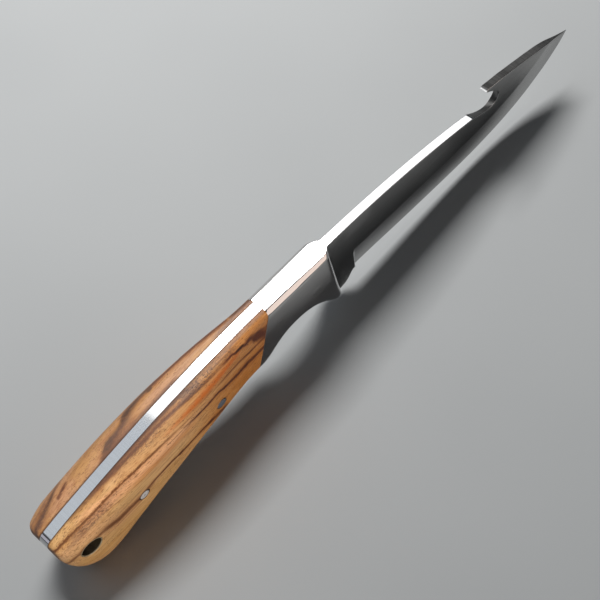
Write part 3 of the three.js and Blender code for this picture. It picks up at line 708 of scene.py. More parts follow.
class Nodes:
    """Short names for the shader nodes used below. An input is a number, a tuple or another node's output."""

    def __init__(self, name):
        self.mat = bpy.data.materials.new(name)
        self.mat.use_nodes = True
        self.t = self.mat.node_tree
        self.t.nodes.clear()
        self.out = self.t.nodes.new("ShaderNodeOutputMaterial")
        coord = self.t.nodes.new("ShaderNodeTexCoord")
        # object coordinates turned into the design frame, in mm
        m = self.t.nodes.new("ShaderNodeVectorMath")
        m.operation = "MULTIPLY_ADD"
        self.t.links.new(coord.outputs["Object"], m.inputs[0])
        m.inputs[1].default_value = (1000, 1000, 1000)
        m.inputs[2].default_value = tuple(float(-o) for o in OFFSET)
        self.P = m.outputs[0]
        s = self.t.nodes.new("ShaderNodeSeparateXYZ")
        self.t.links.new(self.P, s.inputs[0])
        self.x, self.y, self.z = s.outputs

    def put(self, socket, value):
        if isinstance(value, bpy.types.NodeSocket):
            self.t.links.new(value, socket)
        elif value is not None:
            socket.default_value = value

    def math(self, op, a, b=None, c=None, clamp=False):
        n = self.t.nodes.new("ShaderNodeMath")
        n.operation, n.use_clamp = op, clamp
        for i, v in enumerate((a, b, c)):
            self.put(n.inputs[i], v)
        return n.outputs[0]

    def add(self, a, b): return self.math("ADD", a, b)
    def sub(self, a, b): return self.math("SUBTRACT", a, b)
    def mul(self, a, b): return self.math("MULTIPLY", a, b)

    def scaled(self, sx, sy, sz, shift=(0, 0, 0)):
        n = self.t.nodes.new("ShaderNodeVectorMath")
        n.operation = "MULTIPLY_ADD"
        self.t.links.new(self.P, n.inputs[0])
        n.inputs[1].default_value = (sx, sy, sz)
        n.inputs[2].default_value = shift
        return n.outputs[0]

    def noise(self, vector, scale=1.0, detail=2.0, rough=0.5, distortion=0.0):
        n = self.t.nodes.new("ShaderNodeTexNoise")
        self.put(n.inputs["Vector"], vector)
        for k, v in (("Scale", scale), ("Detail", detail), ("Roughness", rough), ("Distortion", distortion)):
            n.inputs[k].default_value = v
        return n.outputs[0]

    def ramp(self, value, lo, hi, out_lo=0.0, out_hi=1.0, smooth=True):
        n = self.t.nodes.new("ShaderNodeMapRange")
        n.interpolation_type = "SMOOTHSTEP" if smooth else "LINEAR"
        n.clamp = True
        for i, v in enumerate((value, lo, hi, out_lo, out_hi)):
            self.put(n.inputs[i], v)
        return n.outputs[0]

    def mix(self, factor, a, b, mode="MIX"):
        n = self.t.nodes.new("ShaderNodeMix")
        n.data_type, n.blend_type = "RGBA", mode
        self.put(n.inputs[0], factor)
        self.put(n.inputs[6], a)
        self.put(n.inputs[7], b)
        return n.outputs[2]

    def curve(self, value, points, lo, hi, top):
        """straight curve through (x, value) points, for x from lo to hi and values from 0 to top"""
        n = self.t.nodes.new("ShaderNodeFloatCurve")
        c = n.mapping.curves[0]
        pts = sorted(((min(1, max(0, (x - lo) / (hi - lo))), min(1, max(0, v / top))) for x, v in points))
        while len(c.points) < len(pts):
            c.points.new(0.5, 0.5)
        for p, (a, b) in zip(c.points, pts):
            p.location = (a, b)
            p.handle_type = "AUTO_CLAMPED"
        n.mapping.extend = "HORIZONTAL"
        n.mapping.update()
        self.put(n.inputs["Factor"], 1.0)
        t = self.math("MULTIPLY_ADD", value, 1 / (hi - lo), -lo / (hi - lo))
        self.put(n.inputs["Value"], t)
        return self.mul(n.outputs[0], top)

    def bump(self, height, distance, strength=1.0, normal=None):
        n = self.t.nodes.new("ShaderNodeBump")
        n.inputs["Strength"].default_value = strength
        n.inputs["Distance"].default_value = distance
        self.put(n.inputs["Height"], height)
        if normal is not None:
            self.put(n.inputs["Normal"], normal)
        return n.outputs[0]

    def shader(self, **inputs):
        n = self.t.nodes.new("ShaderNodeBsdfPrincipled")
        for k, v in inputs.items():
            self.put(n.inputs[k.replace("_", " ")], v)
        self.t.links.new(n.outputs[0], self.out.inputs[0])
        return self.mat


def wood(side):
    """Golden tan hardwood with dark stripes along the grain. g runs from the tang over the edge and down the side."""
    w = Nodes("wood_left" if side > 0 else "wood_right")
    out = w.mul(w.y, float(side))
    g = w.sub(out, w.z)
    slow = w.noise(w.scaled(0.035, 0.11, 0.11, (3.1 * side, 0, 7)), 1.0, 2.0)
    wander = w.noise(w.scaled(0.16, 0.5, 0.5, (0, 5.0 * side, 1)), 1.0, 3.0, 0.6)
    ragged = w.noise(w.scaled(0.75, 2.2, 2.2, (2, 1, 4.0 * side)), 1.0, 3.0, 0.7)
    gd = w.add(g, w.add(w.mul(w.sub(wander, 0.5), 0.55), w.mul(w.sub(ragged, 0.5), 1.0)))
    # ground colour: slow bands, finer streaks, fibres
    bands = w.noise(w.scaled(0.012, 0.30, 0.30, (9, 2.0 * side, 3)), 1.0, 3.0, 0.55, 0.3)
    streak = w.noise(w.scaled(0.035, 1.3, 1.3, (4, 1, 2.0 * side)), 1.0, 4.0, 0.6)
    thin = w.noise(w.scaled(0.06, 2.7, 2.7, (1, 6, 2.0 * side)), 1.0, 3.0, 0.65)
    fibre = w.noise(w.scaled(0.22, 5.0, 5.0), 1.0, 3.0, 0.6)
    c = w.mix(w.ramp(bands, 0.36, 0.64), TAN_LIGHT, TAN_GOLD)
    c = w.mix(w.ramp(slow, 0.40, 0.75, 0.0, 0.8), c, TAN_PINK)
    if side < 0:
        c = w.mix(w.mul(w.ramp(g, 12.5, 9.5), w.ramp(w.x, -40.0, -62.0, 0.25, 0.60)), c, DUN)
        # painted highlight: a pinkish sheen band along the upper rounding of this scale
        painted_sheen_band = w.mul(w.mul(w.ramp(g, 12.6, 14.2), w.ramp(g, 19.5, 16.5)), w.mul(w.ramp(w.x, -108.0, -98.0), w.ramp(w.x, -58.0, -72.0)))
        c = w.mix(w.mul(painted_sheen_band, 0.75), c, PAINTED_SHEEN_PINK)
        deep = w.mul(w.ramp(w.x, -75.0, -40.0), w.ramp(g, 12.0, 20.0))
        c = w.mix(w.mul(deep, 0.85), c, TAN_DEEP)
        c = w.mix(w.ramp(w.x, -74.0, -38.0, 0.0, 0.75), c, AMBER)
    else:
        c = w.mix(0.60, c, w.mix(w.ramp(bands, 0.4, 0.6), BLUSH, TAN_GOLD))
    c = w.mix(w.ramp(streak, 0.50, 0.76, 0.0, 0.62), c, STREAK)
    c = w.mix(w.ramp(streak, 0.50, 0.24, 0.0, 0.40), c, PALE)
    c = w.mix(w.ramp(thin, 0.52, 0.68, 0.0, 0.62), c, UMBER)
    for s in STRIPES_LEFT if side > 0 else STRIPES_RIGHT:
        line, width, strength, colour, soft = s["line"], s["width"], s["strength"], s["colour"], s.get("soft", 0.6)
        centre = w.curve(w.x, line, -116, -27, 50)
        d = w.math("ABSOLUTE", w.sub(gd, centre))
        if isinstance(width, (int, float)):
            wide = width * WIDER
        else:
            wide = w.mul(w.curve(w.x, width, -116, -27, 10), WIDER)
        d = w.math("DIVIDE", d, wide)
        a = w.curve(w.x, strength, -116, -27, 1)
        # a soft brown halo, then the stripe itself
        c = w.mix(w.mul(w.mul(w.ramp(d, 0.6, 2.9, 0.42, 0.0), a), w.ramp(thin, 0.35, 0.6, 0.55, 1.0)), c, HALO)
        m = w.mul(w.ramp(d, 1.0 - soft, 1.0 + soft * 0.6, 1.0, 0.0), w.math("MINIMUM", w.mul(a, 1.25), 1.0))
        m = w.mul(m, w.ramp(ragged, 0.28, 0.50, s.get("gap", 0.62), 1.0))
        c = w.mix(m, c, colour)
    for (x0, g0, rx, rg, colour, strength) in SPOTS_LEFT if side > 0 else SPOTS_RIGHT:
        dx = w.math("DIVIDE", w.sub(w.add(w.x, w.mul(w.sub(wander, 0.5), 2.0)), x0), rx)
        dg = w.math("DIVIDE", w.sub(gd, g0), rg)
        r = w.math("SQRT", w.add(w.mul(dx, dx), w.mul(dg, dg)))
        r = w.add(r, w.mul(w.sub(ragged, 0.5), 1.3))
        c = w.mix(w.ramp(r, 0.55, 1.1, strength, 0.0), c, colour)
    # dark flecks in a few zones
    fleck = w.noise(w.scaled(1.2, 3.2, 3.2, (5, 5, 5)), 1.0, 3.0, 0.7)
    for (x0, g0, rx, rg, strength) in FLECKS_LEFT if side > 0 else FLECKS_RIGHT:
        dx = w.math("DIVIDE", w.sub(w.x, x0), rx)
        dg = w.math("DIVIDE", w.sub(gd, g0), rg)
        r = w.math("SQRT", w.add(w.mul(dx, dx), w.mul(dg, dg)))
        c = w.mix(w.mul(w.ramp(r, 0.35, 1.15, strength, 0.0), w.ramp(fleck, 0.46, 0.60)), c, FLECK)
    # fibres and open pores
    c = w.mix(w.ramp(fibre, 0.45, 0.75, 0.0, 0.30), c, STREAK)
    pore = w.noise(w.scaled(1.25, 4.4, 4.4, (0.3, 0.7, 0.2)), 1.0, 1.0, 0.5)
    patch = w.noise(w.scaled(0.06, 0.25, 0.25, (8, 8, 8)), 1.0, 2.0)
    pores = w.mul(w.ramp(pore, 0.645, 0.70), w.ramp(patch, 0.36, 0.56))
    c = w.mix(w.mul(pores, 0.85), c, PORE)
    # dark joint along the tang, and a darker tone on faces turned towards the butt end
    geo = w.t.nodes.new("ShaderNodeNewGeometry")
    n = w.t.nodes.new("ShaderNodeSeparateXYZ")
    w.t.links.new(geo.outputs["Normal"], n.inputs[0])
    if side > 0:
        c = w.mix(w.ramp(fibre, 0.3, 0.7, 0.24, 0.34), c, DUSK)
    c = w.mix(w.ramp(out, 1.68, 2.35, 0.85, 0.0), c, PORE)
    c = w.mix(w.ramp(n.outputs[0], -0.80, -0.97, 0.0, 0.85), c, END)
    height = w.sub(w.mul(fibre, 0.35), w.mul(pores, 0.9))
    normal = w.bump(height, 0.00004, 0.55)
    rough = w.add(w.ramp(fibre, 0.3, 0.7, 0.42, 0.52, False), w.mul(pores, 0.2))
    return w.shader(Base_Color=c, Roughness=rough, Normal=normal, IOR=1.42)


WIDER = 1.65
DUSK = srgb(146, 104, 80)
TAN_LIGHT, TAN_GOLD, TAN_PINK = srgb(202, 161, 108), srgb(190, 144, 86), srgb(203, 156, 113)
TAN_DEEP, STREAK, PALE, PORE = srgb(190, 120, 44), srgb(142, 84, 40), srgb(222, 174, 120), srgb(70, 42, 26)
BROWN, DARK, RED, ORANGE = srgb(84, 42, 16), srgb(40, 21, 12), srgb(70, 26, 10), srgb(172, 92, 34)
GREY, SMOKE, UMBER, PLUM = srgb(104, 78, 64), srgb(34, 31, 32), srgb(98, 57, 28), srgb(84, 54, 42)
AMBER, BLUSH = srgb(168, 106, 46), srgb(188, 138, 102)
DUN, PAINTED_SHEEN_PINK, HALO, FLECK, END = srgb(176, 132, 84), srgb(226, 168, 122), srgb(150, 86, 38), srgb(82, 58, 46), srgb(64, 37, 20)
FLECKS_RIGHT = [(-58, 5.0, 11, 2.6, 1.0), (-102, 17.2, 9, 2.4, 0.75), (-80, 8.6, 14, 2.4, 0.55), (-47, 4.0, 7, 1.8, 0.6)]
FLECKS_LEFT = [(-36, 2.8, 9, 1.4, 0.8), (-84, 8.2, 8, 1.6, 0.7), (-108, 17.6, 5, 2.0, 0.6)]

STRIPES_RIGHT = [
    # two streaks close under the tang
    dict(line=[(-116, 15.0), (-108, 13.0), (-99.4, 11.0), (-90, 9.4), (-80, 7.9), (-75, 7.1), (-70, 6.6), (-61.9, 6.5), (-52, 6.3), (-44, 5.9)],
         width=0.42, strength=[(-108, 0), (-101, 0.45), (-90, 0.75), (-62, 0.7), (-52, 0.45), (-44, 0)], colour=PLUM, soft=0.8),
    dict(line=[(-100, 10.3), (-92, 8.9), (-85, 7.4), (-76.25, 5.9), (-68.75, 4.8), (-63.1, 4.1), (-55, 3.2), (-40, 2.6), (-28, 2.2)],
         width=0.5, strength=[(-100, 0), (-92, 0.7), (-66, 0.75), (-58, 0.4), (-28, 0.4)], colour=PLUM, soft=0.9),
    # thin dark line along the upper edge of the side
    dict(line=[(-116, 18.5), (-114.5, 17.9), (-108.75, 16.5), (-100.6, 15.35), (-94.4, 14.25), (-90, 13.75), (-85.6, 13.5), (-80, 13.2), (-75, 12.9), (-70, 12.8)],
         width=0.30, strength=[(-116, 0.9), (-84, 0.85), (-74, 0.55), (-69, 0)], colour=UMBER, soft=0.8),
    dict(line=[(-110, 17.9), (-102.5, 16.8), (-96.25, 15.7), (-90, 15.0), (-84, 14.6)],
         width=0.45, strength=[(-111, 0), (-106, 0.4), (-92, 0.3), (-84, 0)], colour=GREY, soft=1.0),
    dict(line=[(-113, 20.0), (-104, 18.6), (-96, 17.4), (-88, 16.8)],
         width=0.5, strength=[(-113, 0.1), (-106, 0.4), (-98, 0.25), (-88, 0)], colour=GREY, soft=1.0),
    # strong stripe from the middle of the handle down to the seam
    dict(line=[(-72, 12.9), (-69.4, 13.3), (-66.9, 14.7), (-63.1, 15.4), (-58.75, 15.6), (-53.75, 15.5), (-51.25, 16.3), (-47.5, 17.0), (-43.75, 17.6), (-40, 17.5), (-37.5, 18.4), (-33.75, 18.8), (-30, 18.9)],
         width=[(-72, 0.35), (-64, 0.38), (-52, 0.5), (-46, 0.62), (-38, 0.7), (-30, 0.6)],
         strength=[(-70, 0), (-66, 0.45), (-60, 0.85), (-50, 0.95), (-30, 0.9)], colour=RED, soft=0.8),
    # thin line near the seam
    dict(line=[(-54, 11.9), (-46.25, 11.9), (-42.5, 12.3), (-38.1, 13.2), (-33.75, 13.7), (-29, 14.4)],
         width=0.36, strength=[(-54, 0), (-48, 0.6), (-40, 0.75), (-29, 0.9)], colour=BROWN, soft=0.9),
    # soft orange stripe
    dict(line=[(-76, 10.9), (-72.5, 10.8), (-67.5, 10.4), (-61.9, 9.95), (-56.25, 9.3), (-52.5, 8.9), (-49.4, 8.4), (-44.4, 7.7), (-40, 7.2)],
         width=[(-76, 0.4), (-64, 0.6), (-54, 0.8), (-46, 0.6)], strength=[(-76, 0), (-68, 0.5), (-56, 0.85), (-48, 0.8), (-41, 0)], colour=ORANGE, soft=0.9),
    # dark wiggle at the seam end
    dict(line=[(-48, 6.2), (-44.4, 5.8), (-43.4, 6.4), (-40.6, 6.4), (-39.1, 7.2), (-36.9, 6.9), (-35.9, 7.8), (-35, 9.2), (-33.1, 10.2), (-31.0, 11.8)],
         width=[(-48, 0.35), (-40, 0.5), (-36, 1.1), (-33, 1.8), (-30, 2.0)], strength=[(-49, 0), (-45, 0.85), (-36, 0.9), (-32, 0.85), (-30, 0.6)], colour=RED, soft=0.8),
    dict(line=[(-36, 6.6), (-33, 8.0), (-30, 9.2)], width=0.5, strength=[(-37, 0), (-34, 0.7), (-30, 0.5)], colour=BROWN, soft=0.9),
    # lower stripe, through the hole and the rear pin
    dict(line=[(-116, 29.0), (-113.5, 26.8), (-110, 25.0), (-103.75, 24.7), (-100.6, 25.2), (-98.75, 26.0), (-96.25, 26.8), (-93.1, 26.8), (-88.75, 27.0), (-85, 26.6), (-82, 25.9)],
         width=[(-116, 0.7), (-104, 0.5), (-100, 0.9), (-92, 0.8), (-82, 0.5)], strength=[(-116, 0.8), (-110, 0.6), (-102, 0.65), (-96, 0.8), (-86, 0.6), (-82, 0)], colour=UMBER, soft=0.9),
    dict(line=[(-86, 25.8), (-80, 25.3), (-75, 25.2), (-71.9, 25.6), (-67.5, 25.8), (-61.9, 26.0), (-58.75, 26.5), (-55, 27.2), (-52.5, 27.7)],
         width=[(-86, 0.4), (-74, 0.42), (-62, 0.5), (-55, 0.7)], strength=[(-87, 0), (-82, 0.7), (-64, 0.85), (-55, 0.9), (-51, 0.4), (-50, 0)], colour=BROWN, soft=0.9),
    dict(line=[(-90, 17.6), (-84.4, 17.9), (-71, 17.7), (-64, 17.6)], width=0.7, strength=[(-90, 0), (-80, 0.35), (-70, 0.3), (-62, 0)], colour=TAN_DEEP, soft=1.0),
]
SPOTS_RIGHT = [
    (-71.3, 25.6, 1.5, 0.95, BROWN, 0.85), (-58.6, 26.4, 1.9, 0.9, RED, 0.8), (-99.0, 25.8, 2.4, 1.2, UMBER, 0.55),
    (-40.5, 18.2, 1.2, 1.3, RED, 0.75), (-50.5, 16.4, 1.0, 0.9, RED, 0.75), (-34.0, 9.4, 3.0, 2.5, RED, 0.9),
    (-41.6, 6.2, 2.3, 0.65, DARK, 0.85), (-60.0, 5.2, 4.5, 1.9, GREY, 0.62), (-47.5, 4.8, 7.0, 1.0, PLUM, 0.4),
]
STRIPES_LEFT = [
    # smoke-grey streak from the tang out to the edge
    dict(line=[(-90, 8.2), (-88, 8.4), (-85, 9.0), (-80, 9.0), (-77.5, 9.9), (-75, 10.9), (-72, 11.1), (-66, 10.4), (-62, 9.8)],
         width=[(-90, 0.5), (-85, 1.1), (-80, 0.7), (-76, 1.5), (-70, 1.0), (-64, 0.9)], strength=[(-91, 0), (-88, 0.9), (-70, 1), (-65, 0.9), (-61, 0)], colour=SMOKE, soft=0.9, gap=0.75),
    dict(line=[(-92, 8.0), (-86, 7.4), (-80, 6.6), (-74, 6.0)], width=0.7, strength=[(-92, 0), (-86, 0.75), (-80, 0.7), (-75, 0)], colour=PLUM, soft=1.0),
    dict(line=[(-78, 6.6), (-72, 5.4), (-66, 4.4), (-60, 3.6)], width=0.4, strength=[(-78, 0), (-72, 0.6), (-63, 0.6), (-59, 0)], colour=PLUM, soft=0.9),
    # dark red line far out
    dict(line=[(-66, 10.1), (-64, 9.6), (-60, 8.8), (-55, 7.9), (-50, 6.9), (-45, 5.8), (-40, 4.9), (-37, 4.5)], width=[(-66, 0.6), (-55, 0.7), (-45, 0.85), (-37, 0.7)], strength=[(-66, 0), (-63, 0.8), (-40, 1), (-37, 0)], colour=RED, soft=0.8, gap=0.85),
    # streak at the butt's corner
    dict(line=[(-116, 17.2), (-112, 16.5), (-108.75, 16.6), (-105, 17.6), (-102.5, 19.2)], width=0.7, strength=[(-116, 0.95), (-110, 0.85), (-104, 0.7), (-99, 0)], colour=SMOKE, soft=0.9),
    dict(line=[(-116, 18.9), (-110, 18.6), (-104, 20.4)], width=0.5, strength=[(-116, 0.6), (-104, 0.4), (-100, 0)], colour=GREY, soft=1.0),
    # dark fleck
    dict(line=[(-104, 14.7), (-100, 15.1)], width=0.42, strength=[(-104.8, 0), (-103.5, 0.95), (-101, 0.9), (-99.5, 0)], colour=RED, soft=0.8),
    # grey towards the bolster
    dict(line=[(-46, 2.5), (-40, 2.4), (-34, 2.6), (-28, 2.3)], width=0.6, strength=[(-46, 0), (-38, 0.6), (-28, 0.6)], colour=GREY, soft=1.0),
    dict(line=[(-38, 4.6), (-34, 3.8), (-28, 3.3)], width=[(-38, 0.4), (-34, 0.8), (-28, 0.8)], strength=[(-37, 0), (-34, 0.85), (-28, 0.8)], colour=SMOKE, soft=0.8),
    dict(line=[(-110, 26), (-90, 24), (-70, 22), (-50, 20), (-30, 18)], width=0.5, strength=[(-110, 0.5), (-60, 0.8), (-30, 0.9)], colour=BROWN, soft=0.9),
    dict(line=[(-114, 31), (-90, 30), (-70, 27), (-50, 24.5), (-30, 23)], width=0.4, strength=[(-114, 0.8), (-70, 0.6), (-30, 0.9)], colour=UMBER, soft=0.9),
    dict(line=[(-96, 17.5), (-80, 16.0), (-60, 14.6), (-45, 12.8), (-30, 11)], width=0.35, strength=[(-96, 0), (-80, 0.6), (-45, 0.8), (-30, 0.8)], colour=ORANGE, soft=0.9),
]
SPOTS_LEFT = [(-67.0, 9.0, 1.2, 1.2, SMOKE, 0.8), (-85.5, 9.3, 2.6, 1.3, SMOKE, 0.8), (-76.0, 10.8, 1.8, 1.3, SMOKE, 0.8)]


def steel(name, colour, rough, metal=1.0, coarse=False):
    """Belt-finished steel: faint lines along the flats and across the back."""
    w = Nodes(name)
    geo = w.t.nodes.new("ShaderNodeNewGeometry")
    n = w.t.nodes.new("ShaderNodeSeparateXYZ")
    w.t.links.new(geo.outputs["Normal"], n.inputs[0])
    facing = w.math("ABSOLUTE", n.outputs[1])
    flat = w.ramp(facing, 0.6, 0.9)
    along = w.noise(w.scaled(0.03, 2.0, 3.4), 1.0, 3.0, 0.6)
    across = w.noise(w.scaled(2.6, 0.10, 0.6), 1.0, 3.0, 0.6)
    height = w.add(w.mul(along, flat), w.mul(across, w.sub(1.0, flat)))
    cloud = w.noise(w.scaled(0.07, 0.2, 0.12), 1.0, 3.0)
    r = w.add(w.ramp(cloud, 0.3, 0.7, rough * 0.9, rough * 1.15, False), w.mul(w.sub(height, 0.5), rough * 0.3))
    tone = w.mix(w.ramp(height, 0.3, 0.7, 0.0, 0.22), colour, tuple(c * 0.78 for c in colour[:3]) + (1.0,))
    normal = None
    if coarse:
        # the flats get a far darker tone than the back and a little more roughness: partly a satin finish, partly
        # painted shade for the dark floor shadow they mirror
        satin_and_painted_shade = w.ramp(facing, 0.90, 0.97)
        tone = w.mix(satin_and_painted_shade, tone, w.mix(w.ramp(along, 0.3, 0.7), (0.225, 0.222, 0.218, 1.0), (0.185, 0.182, 0.178, 1.0)))
        r = w.add(r, w.mul(satin_and_painted_shade, 0.10))
        # the hook and the top of the point get a dark tone with marks across: partly a matt ground finish, partly
        # painted shade
        rim = w.mul(w.sub(1.0, w.ramp(facing, 0.45, 0.7)), w.ramp(w.add(w.x, w.mul(w.y, 0.39)), 75.75, 76.0))
        beak = w.mul(w.mul(w.ramp(w.x, 82.2, 82.0), w.ramp(w.z, -1.9, -1.6)), w.ramp(w.z, -0.60, -0.80))
        plain = w.mul(rim, w.sub(1.0, beak))
        point = w.mul(w.ramp(w.x, 81.9, 82.3), w.ramp(w.add(w.z, w.mul(w.x, 0.25)), 15.5, 16.5))
        marks = w.noise(w.scaled(1.9, 0.08, 0.5), 1.0, 3.0, 0.6)
        # painted shade: the top of the point is painted darker near the hook and lighter towards the tip
        painted_shade_along_point = w.ramp(w.x, 82.0, 122.0, 0.050, 0.13)
        grey = w.add(w.mul(point, painted_shade_along_point), w.mul(w.sub(1.0, point), 0.10))
        grey = w.mul(grey, w.ramp(marks, 0.3, 0.7, 0.72, 1.30))
        dull_and_shaded_tone = w.t.nodes.new("ShaderNodeCombineColor")
        for socket in dull_and_shaded_tone.inputs:
            w.t.links.new(grey, socket)
        tone = w.mix(plain, tone, dull_and_shaded_tone.outputs[0])
        tone = w.mix(w.mul(rim, beak), tone, (0.58, 0.58, 0.58, 1.0))
        worn = w.mul(w.mul(w.ramp(facing, 0.36, 0.48), w.ramp(facing, 0.96, 0.88)), w.ramp(w.x, 75.8, 76.2))
        tone = w.mix(worn, tone, (0.62, 0.61, 0.60, 1.0))
        r = w.add(w.mul(r, w.sub(1.0, rim)), w.mul(rim, w.ramp(marks, 0.3, 0.7, 0.40, 0.32)))
    return w.shader(Base_Color=tone, Metallic=metal, Roughness=r, Normal=normal)


def pin_metal(name, colour, dark, rough, metal, centre, radius, rim, dot):
    """A pin's end: rubbed metal with a dark rim, which is painted shade where the pin meets the wood, and a small dark
    centre.
    """
    w = Nodes(name)
    dx, dz = w.sub(w.x, centre[0]), w.sub(w.z, centre[1])
    r = w.math("SQRT", w.add(w.mul(dx, dx), w.mul(dz, dz)))
    wear = w.noise(w.scaled(2.4, 0.3, 0.9), 1.0, 3.0, 0.65)
    tone = w.mix(w.ramp(wear, 0.35, 0.7, 0.0, 0.55), colour, tuple(c * 0.62 for c in colour[:3]) + (1.0,))
    # painted shade: a dark ring round the pin's edge
    edge = w.ramp(w.add(r, w.mul(w.sub(wear, 0.5), 0.25)), radius - rim - 0.12, radius - rim + 0.12)
    tone = w.mix(edge, tone, dark)
    if dot:
        tone = w.mix(w.ramp(r, dot, dot + 0.15, 0.85, 0.0), tone, dark)
    return w.shader(Base_Color=tone, Metallic=metal, Roughness=w.ramp(wear, 0.3, 0.7, rough * 0.85, rough * 1.15))


def polished(name, colour, rough):
    """Buffed steel with faint swirls and rub marks."""
    w = Nodes(name)
    cloud = w.noise(w.scaled(0.12, 0.3, 0.2), 1.0, 4.0, 0.6)
    rub = w.noise(w.scaled(0.5, 3.0, 7.0), 1.0, 3.0, 0.6)
    r = w.add(w.ramp(cloud, 0.35, 0.7, rough * 0.7, rough * 1.5, False), w.ramp(rub, 0.55, 0.8, 0.0, rough * 0.5, False))
    tone = w.mix(w.ramp(rub, 0.5, 0.8, 0.0, 0.25), colour, tuple(c * 0.86 for c in colour[:3]) + (1.0,))
    return w.shader(Base_Color=tone, Metallic=1.0, Roughness=r, Normal=w.bump(rub, 0.0000004, 0.6))


def tube_metal():
    """Pale lip, with a near-black inside: partly tarnish, partly painted shade in the hole."""
    w = Nodes("tube_nickel_silver")
    dx, dz = w.sub(w.x, THONG[0]), w.sub(w.z, THONG[1])
    r = w.math("SQRT", w.add(w.mul(dx, dx), w.mul(dz, dz)))
    stain = w.noise(w.scaled(0.7, 0.5, 0.7), 1.0, 3.0, 0.6)
    lip = w.mix(w.ramp(stain, 0.35, 0.7), (0.60, 0.50, 0.32, 1.0), (0.40, 0.31, 0.19, 1.0))
    # the inside of the tube: partly tarnish, partly painted shade
    bore_tarnish_and_shade = w.mix(w.ramp(stain, 0.35, 0.7), (0.070, 0.050, 0.030, 1.0), (0.035, 0.025, 0.018, 1.0))
    tone = w.mix(w.ramp(r, TUBE_BORE_R - 0.02, TUBE_BORE_R + 0.08), bore_tarnish_and_shade, lip)
    return w.shader(Base_Color=tone, Metallic=0.7, Roughness=w.ramp(stain, 0.3, 0.7, 0.30, 0.42))


def floor_material():
    w = Nodes("floor_paper")
    a = w.noise(w.scaled(0.01, 0.01, 0.01), 1.0, 2.0)
    b = w.noise(w.scaled(1.2, 1.2, 1.2), 1.0, 3.0)
    c = w.mix(w.ramp(a, 0.3, 0.7), FLOOR_A, FLOOR_B)
    return w.shader(Base_Color=c, Roughness=0.85, Specular_IOR_Level=0.2, Normal=w.bump(b, 0.00002, 0.3))


# ---------------------------------------------------------------- the knife
TOP_Z = float(back_z(np.linspace(-113.4, 75.4, 65)).max())
OFFSET = offset_of()

STEEL = (0.56, 0.57, 0.585, 1.0)
BOLSTER = (0.60, 0.585, 0.575, 1.0)
FLOOR_A, FLOOR_B = (0.620, 0.640, 0.650, 1.0), (0.595, 0.615, 0.626, 1.0)

blade = make_blade(steel("steel_blade", STEEL, 0.11, coarse=True))
wood_left, wood_right = wood(1), wood(-1)
scale_left = make_scale(1, wood_left)
scale_right = make_scale(-1, wood_right)
polish = polished("steel_polished", BOLSTER, 0.075)
bolster_left = make_bolster(1, polish)
bolster_right = make_bolster(-1, polish)

face_at = lambda p: float(handle_face([p])[0])
make_pin("handle_pin_front_metal", "handle_pin_front",
         pin_metal("steel_pin_front", (0.36, 0.38, 0.43, 1), (0.05, 0.045, 0.05, 1), 0.36, 0.85, PIN_FRONT, PIN_R, 0.25, 0.0),
         PIN_FRONT, PIN_R, face_at(PIN_FRONT) + 0.0, dome=0.05, chamfer=0.05)
make_pin("handle_pin_rear_metal", "handle_pin_rear",
         pin_metal("steel_pin_rear", (0.66, 0.64, 0.63, 1), (0.055, 0.035, 0.025, 1), 0.48, 0.30, PIN_REAR, PIN_R, 0.46, 0.18),
         PIN_REAR, PIN_R, face_at(PIN_REAR) + 0.0, dome=0.12, dimple=0.12, chamfer=0.05)
for name, p in (("bolster_pin_front", BOLSTER_PINS[1]), ("bolster_pin_rear", BOLSTER_PINS[0])):
    make_pin(name + "_steel", name, polish, p, BPIN_R, float(bolster_face([p])[0]), chamfer=0.004)
make_tube(tube_metal())

# ------------------------------------------------------------------- stage
def stage_mesh(name, size, z, material):
    mesh = bpy.data.meshes.new(name)
    s = size / 2
    mesh.from_pydata([(-s, -s, z), (s, -s, z), (s, s, z), (-s, s, z)], [], [(0, 1, 2, 3)])
    obj = bpy.data.objects.new(name, mesh)
    bpy.context.scene.collection.objects.link(obj)
    mesh.materials.append(material)
    obj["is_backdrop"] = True
    return obj


floor = stage_mesh("floor", 8.0, -0.0001, floor_material())


def area_light(name, centre, target, width, height, radiance, colour=(1, 1, 1), turn=0.0):
    data = bpy.data.lights.new(name, "AREA")
    data.shape = "RECTANGLE"
    data.size, data.size_y = width, height
    data.energy = radiance * math.pi * width * height
    data.color = colour
    obj = bpy.data.objects.new(name, data)
    bpy.context.scene.collection.objects.link(obj)
    obj.location = centre
    aim = Vector(target) - Vector(centre)
    if abs(aim.x) + abs(aim.y) < 1e-9:
        obj.rotation_euler = (0.0, 0.0, math.radians(turn))
    else:
        obj.rotation_euler = aim.to_track_quat("-Z", "Y").to_euler()
    obj.visible_camera = False
    return obj


knife_parts = bpy.data.collections.new("knife_parts")
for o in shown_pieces():
    knife_parts.objects.link(o)


def only_knife(light):
    """this lamp lights the knife and not the floor"""
    light.light_linking.receiver_collection = knife_parts


# compact softbox on the far side: it gives the light on the floor and the knife's shadow
main = area_light("main_softbox", (0.16, 0.315, 0.62), (0.16, 0.315, 0.0), 0.32, 0.28, 14.5, (1.0, 0.985, 0.965))
# long, dimmer strip beside it, which the back of the blade mirrors from the tang to the hook
key = area_light("key_strip", (0.59, 0.372, 0.625), (0.59, 0.372, 0.0), 1.50, 0.34, 2.3, (1.0, 0.985, 0.965), 5.9)
only_knife(key)
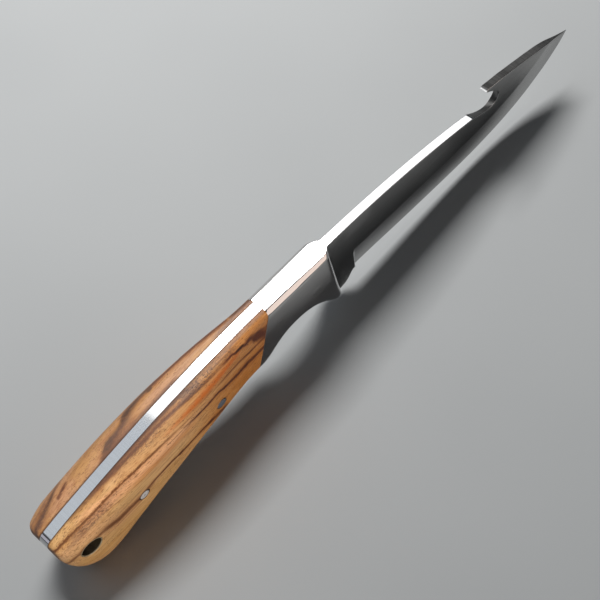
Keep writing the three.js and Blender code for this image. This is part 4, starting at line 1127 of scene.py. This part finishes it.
# dim sheet that carries on from it over the butt, which the rear of the tang mirrors
sheet = area_light("top_sheet", (-0.370, 0.300, 0.62), (-0.370, 0.300, 0.0), 0.42, 0.34, 0.85, (0.90, 0.95, 1.0))
# low soft panel on the near side, which the rounded edges mirror
panel = area_light("side_panel", (0.40, -1.00, 0.50), (0.0, 0.0, 0.02), 1.5, 0.60, 1.3, (1.0, 0.83, 0.74))
only_knife(panel)
# dim panel past the butt
end_panel = area_light("end_panel", (-1.10, 0.30, 0.45), (-0.11, 0.0, 0.03), 0.7, 0.6, 0.60, (0.95, 0.90, 1.0))
only_knife(end_panel)
# soft panel straight overhead, which the back of the knife mirrors when it is seen from above
over_panel = area_light("over_panel", (-0.02, -0.01, 0.62), (-0.02, -0.01, 0.0), 0.90, 0.18, 0.60, (0.97, 0.98, 1.0))
only_knife(over_panel)
# broad fill for the handle's near side
fill = area_light("handle_fill", (-0.45, -0.75, 0.62), (0.0, 0.0, 0.02), 0.9, 0.7, 3.9, (1.0, 0.97, 0.93))
fill.visible_glossy = False
only_knife(fill)

world = bpy.data.worlds.new("studio")
bpy.context.scene.world = world
world.use_nodes = True
world.node_tree.nodes["Background"].inputs[0].default_value = (0.92, 0.96, 1.0, 1.0)
world.node_tree.nodes["Background"].inputs[1].default_value = 0.07

cam_data = bpy.data.cameras.new("camera")
cam = bpy.data.objects.new("camera", cam_data)
bpy.context.scene.collection.objects.link(cam)
bpy.context.scene.camera = cam
cam_data.sensor_width = 36.0
cam_data.lens = 60.008
cam_data.shift_x, cam_data.shift_y = -0.5 / 600, 0.5 / 600
cam_data.clip_start, cam_data.clip_end = 0.01, 20.0
right = Vector((0.6629, -0.7483, -0.0254)).normalized()
down = Vector((-0.6526, -0.5608, -0.5094))
down = (down - right * down.dot(right)).normalized()
forward = right.cross(down)
place = (Vector((-125.2, -110.7, 249.1)) + Vector(OFFSET)) / 1000.0
m = Matrix((right, -down, -forward)).transposed().to_4x4()
m.translation = place
cam.matrix_world = m

scene = bpy.context.scene
scene.view_settings.view_transform = "Standard"
scene.view_settings.look = "None"
scene.view_settings.exposure = 0.0
scene.view_settings.gamma = 1.0
